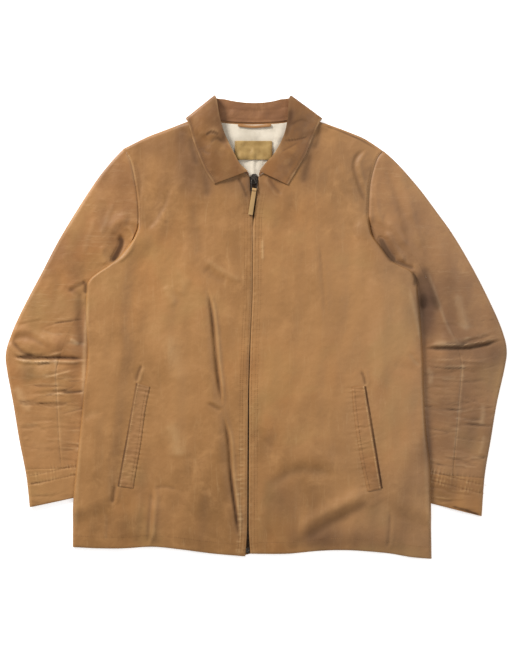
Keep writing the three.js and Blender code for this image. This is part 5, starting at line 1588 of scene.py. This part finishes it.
def welt_marks(t, w, p):
    """The mouth is painted dark as the shade in the slit, and the stitch row shaded; a pale lip beside the
    mouth is partly wear and partly painted highlight.
    """
    rim, from_mouth = welt_rim(t, w), w * WELT_WIDTH
    mouth = ease((3.0 - from_mouth) / 0.9)
    lip = np.exp(-((from_mouth - 4.6) / 1.2) ** 2)
    stitched = np.exp(-((rim - WELT_ROW) / 1.2) ** 2)
    ridges = np.maximum(welt_ridges(t, p), 0)
    rub = 0.08 * np.exp(-(rim / 1.6) ** 2) + 0.55 * lip + 0.16 * ridges
    return {"rub": np.clip(rub * (1 - mouth), 0, 1),
            "shade": np.clip(mouth * 2 + 0.3 * stitched, 0, 1)}


def welt_relief(t, w, p):
    rim = welt_rim(t, w)
    return (0.24 * welt_ridges(t, p) * ease(rim / 5) * ease(w * 6)
            - 0.3 * np.exp(-((rim - WELT_ROW) / 1.1) ** 2) + 0.1 * RUMPLE(p)
            - 0.5 * ease((3.2 - w * WELT_WIDTH) / 1.2))


welts = {}
for word, side in SIDES:
    sheet = overlay((side["pocketMouthLine"], side["pocketBackLine"]), [tree_of(fronts[word])],
                    0.15, LEATHER, (120, WELT_ACROSS), side["outwards"], 0.5, welt_marks,
                    welt_relief)
    welts[word] = dress(f"pocket_welt_leather_{word}", sheet, LEATHER_TRIM,
                        f"pocket_welt_{word}")

# Lining, label and hanger loop behind the neck.

back_trees = [tree_of(back_piece)]


def lining_relief(t, w, p):
    pleat = 1.6 * np.exp(-((p[..., 0] + 5) / 3.0) ** 2) * ease((0.75 - w) / 0.3)
    return 1.2 * np.maximum(0, BUCKLING(p * 1.3)) * 4 * w * (1 - w) + pleat


lining_edges = (Edge([(-32, 246), (-6, 246), (24, 246)]),
                Edge([(-72, 352.6), (-54, 347), (-6, 344.4), (44, 347), (62, 352.6)]))
lining = dress("lining_cloth_neck",
               overlay(lining_edges, back_trees, 0.5, CLOTH, (56, 50), 1, 0.2,
                       extra=lining_relief),
               LINING_CLOTH, "lining_neck")
lining_trees = [tree_of(lining)]
label = dress("label_leather_patch",
              overlay((Edge([(-36.2, 285.3), (26.7, 285.3)]),
                       Edge([(-36.2, 316.7), (26.7, 316.7)])),
                      lining_trees, 0.4, TRIM, (36, 20), 1, 0.5),
              label_finish(), "label_patch")
zigzags = []
for x in (-34.6, 25.1):
    ys = np.arange(286.6, 315.6, 1.6)
    corners = np.column_stack([x + 1.1 * np.where(np.arange(len(ys)) % 2, 1, -1), ys])
    halfway = (corners[:1] + corners[1:2]) / 2
    zigzags.append(run_on([tree_of(label)], np.vstack([halfway, corners[1:]]), 0.15))
dress("hanger_loop_leather",
      overlay((Edge([(-31, 341.4), (-3, 339), (25, 341.4)]),
               Edge([(-31, 344.9), (-3, 342.6), (25, 344.9)])),
              lining_trees, 0.7, TRIM, (40, 8), 1, 0.6),
      LEATHER_TRIM, "hanger_loop",
      cut=(0.01, 0.056, 0.0004))

# Zip: tapes, teeth, and bevelled copies of its hard pieces.

TAPE_ENDS = (-379, 256)
CHAIN_ENDS = (-374.5, 253)


def tape_top(y):
    """The height of the zip tapes, just under the fronts."""
    p = np.stack([zip_x(y), y], -1)
    return front_top(p) - LEATHER - 2 * SEAM_GAP


def tape(low, high):
    y = steps(210, *TAPE_ENDS)[:, None]
    x = np.linspace(low, high, 7)[None, :]
    px = zip_x(y) + x
    top = tape_top(y[:, 0])[:, None] + 0.12 * np.cos(math.tau * y / 6) * (x != 0)
    grid = np.stack(np.broadcast_arrays(px, y, top), -1)
    return Sheet(grid, TAPE, 1)


tape_inner = CHAIN_WIDTH / 2 + SEAM_GAP
dress("zip_tape_cloth_right", tape(-TAPE_WIDTH, -tape_inner), ZIP_CLOTH,
      "zip_tape_right")
dress("zip_tape_cloth_left", tape(tape_inner, TAPE_WIDTH), ZIP_CLOTH, "zip_tape_left")
ys = steps(300, *CHAIN_ENDS)
chain_line = np.stack([zip_x(ys), ys, tape_top(ys) - CHAIN_DEPTH / 2], -1)
teeth = zip_chain("zip_chain_teeth", chain_line)
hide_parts("zip_teeth")


def bevelled(node, name, material, width, body):
    """A copy of a hard CAD piece with softened edges."""
    mesh = frame["nodes"][node].data.copy()
    made = placed(name, mesh)
    shape = bmesh.new()
    shape.from_mesh(mesh)
    bmesh.ops.remove_doubles(shape, verts=shape.verts, dist=1e-6)
    bmesh.ops.dissolve_limit(shape, angle_limit=math.radians(1), verts=shape.verts,
                             edges=shape.edges)
    sharp = [e for e in shape.edges if len(e.link_faces) == 2
             and e.calc_face_angle(0) > math.radians(28)]
    bmesh.ops.bevel(shape, geom=sharp, offset=width / 1000, segments=2, profile=0.6,
                    affect="EDGES", clamp_overlap=True)
    shape.to_mesh(mesh)
    shape.free()
    mesh.polygons.foreach_set("use_smooth", np.ones(len(mesh.polygons), bool))
    mesh.set_sharp_from_angle(angle=math.radians(40))
    mesh.materials.clear()
    mesh.materials.append(material)
    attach(made, body)
    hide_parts(node)


bevelled("zip_slider", "zip_slider_metal", DARK_METAL, 0.25, "garment")
bevelled("zip_end_box", "zip_end_box_metal", DARK_METAL, 0.4, "garment")
bevelled("pull_bail", "pull_bail_metal", DARK_METAL, 0.35, "pull")
pull_leather = leather_finish("pull_leather", tone(184, 148, 98), tone(200, 164, 116),
                              tone(150, 112, 68), tone(214, 184, 138))
bevelled("pull_tab", "pull_tab_leather", pull_leather, 0.5, "pull")

# Stitching.


def laid(trees, line):
    """A plan line that lies on some meshes, for a row of stitches."""
    return run_on(trees, path_points(line), 0.12)


stitch_lines = []
for side in (RIGHT, LEFT):
    for line in zip_rows(side):
        stitch_lines.append(laid(front_trees, line[line[:, 1] < 236]))
    stitch_lines.append(laid(front_trees, hem_row(side)))
    stitch_lines.append(laid(front_trees, armhole_row(side)))
stitches("body_stitches", stitch_lines)

collar_lines = []
for side in (RIGHT, LEFT):
    line = inset_line(side["leafEdgeLine"], (-6, 300), COLLAR_ROW, 0.02, 0.9)
    collar_lines.append(laid([tree_of(fall_piece)], line))
stand_row = np.array([(-26, 374), (-8, 373), (28, 374)])
collar_lines.append(laid([tree_of(stand_piece)], stand_row))
stitches("collar_stitches", collar_lines)
stitches("label_stitches", zigzags, length=2.6, thickness=0.6, pitch=math.hypot(2.2, 1.6))

welt_lines = []
for word, side in SIDES:
    trees = [tree_of(welts[word])]
    middle = side["welt"].mean(0)
    for name in ("pocketMouthLine", "pocketBackLine"):
        line = inset_line(side[name], middle, WELT_ROW, 0.03, 0.97)
        welt_lines.append(laid(trees, line))
stitches("welt_stitches", welt_lines)

cuff_lines = []
for word, side in SIDES:
    trees = [tree_of(cuffs[word]), tree_of(uppers[word]), tree_of(unders[word])]
    for row in cuff_rows(side):
        cuff_lines.append(laid(trees, row[3:-3]))
stitches("cuff_stitches", cuff_lines)

# Stage and light.

FLOOR_REACH, FLOOR_LEVEL = 6, -0.0004
mesh = bpy.data.meshes.new("floor")
mesh.from_pydata([(x * FLOOR_REACH, y * FLOOR_REACH, FLOOR_LEVEL)
                  for x, y in ((-1, -1), (1, -1), (1, 1), (-1, 1))], [], [(0, 1, 2, 3)])
mesh.materials.append(floor_finish())
floor = placed("floor", mesh)


def soft_light(name, place, size, power):
    light = bpy.data.lights.new(name, "AREA")
    light.shape = "DISK"
    light.size = size
    light.energy = power
    obj = placed(name, light)
    obj.location = place
    obj.rotation_euler = (Vector(place) * -1).to_track_quat("-Z", "Y").to_euler()


soft_light("key_light", (-1.7, 1.9, 1.35), 0.9, 94)
soft_light("fill_light", (1.6, 0.4, 2.4), 1.6, 20)

world = bpy.data.worlds.new("studio")
world.use_nodes = True
world.node_tree.nodes["Background"].inputs["Color"].default_value = (1, 1, 1, 1)
world.node_tree.nodes["Background"].inputs["Strength"].default_value = 0.4
scene.world = world
scene.view_settings.view_transform = "Standard"
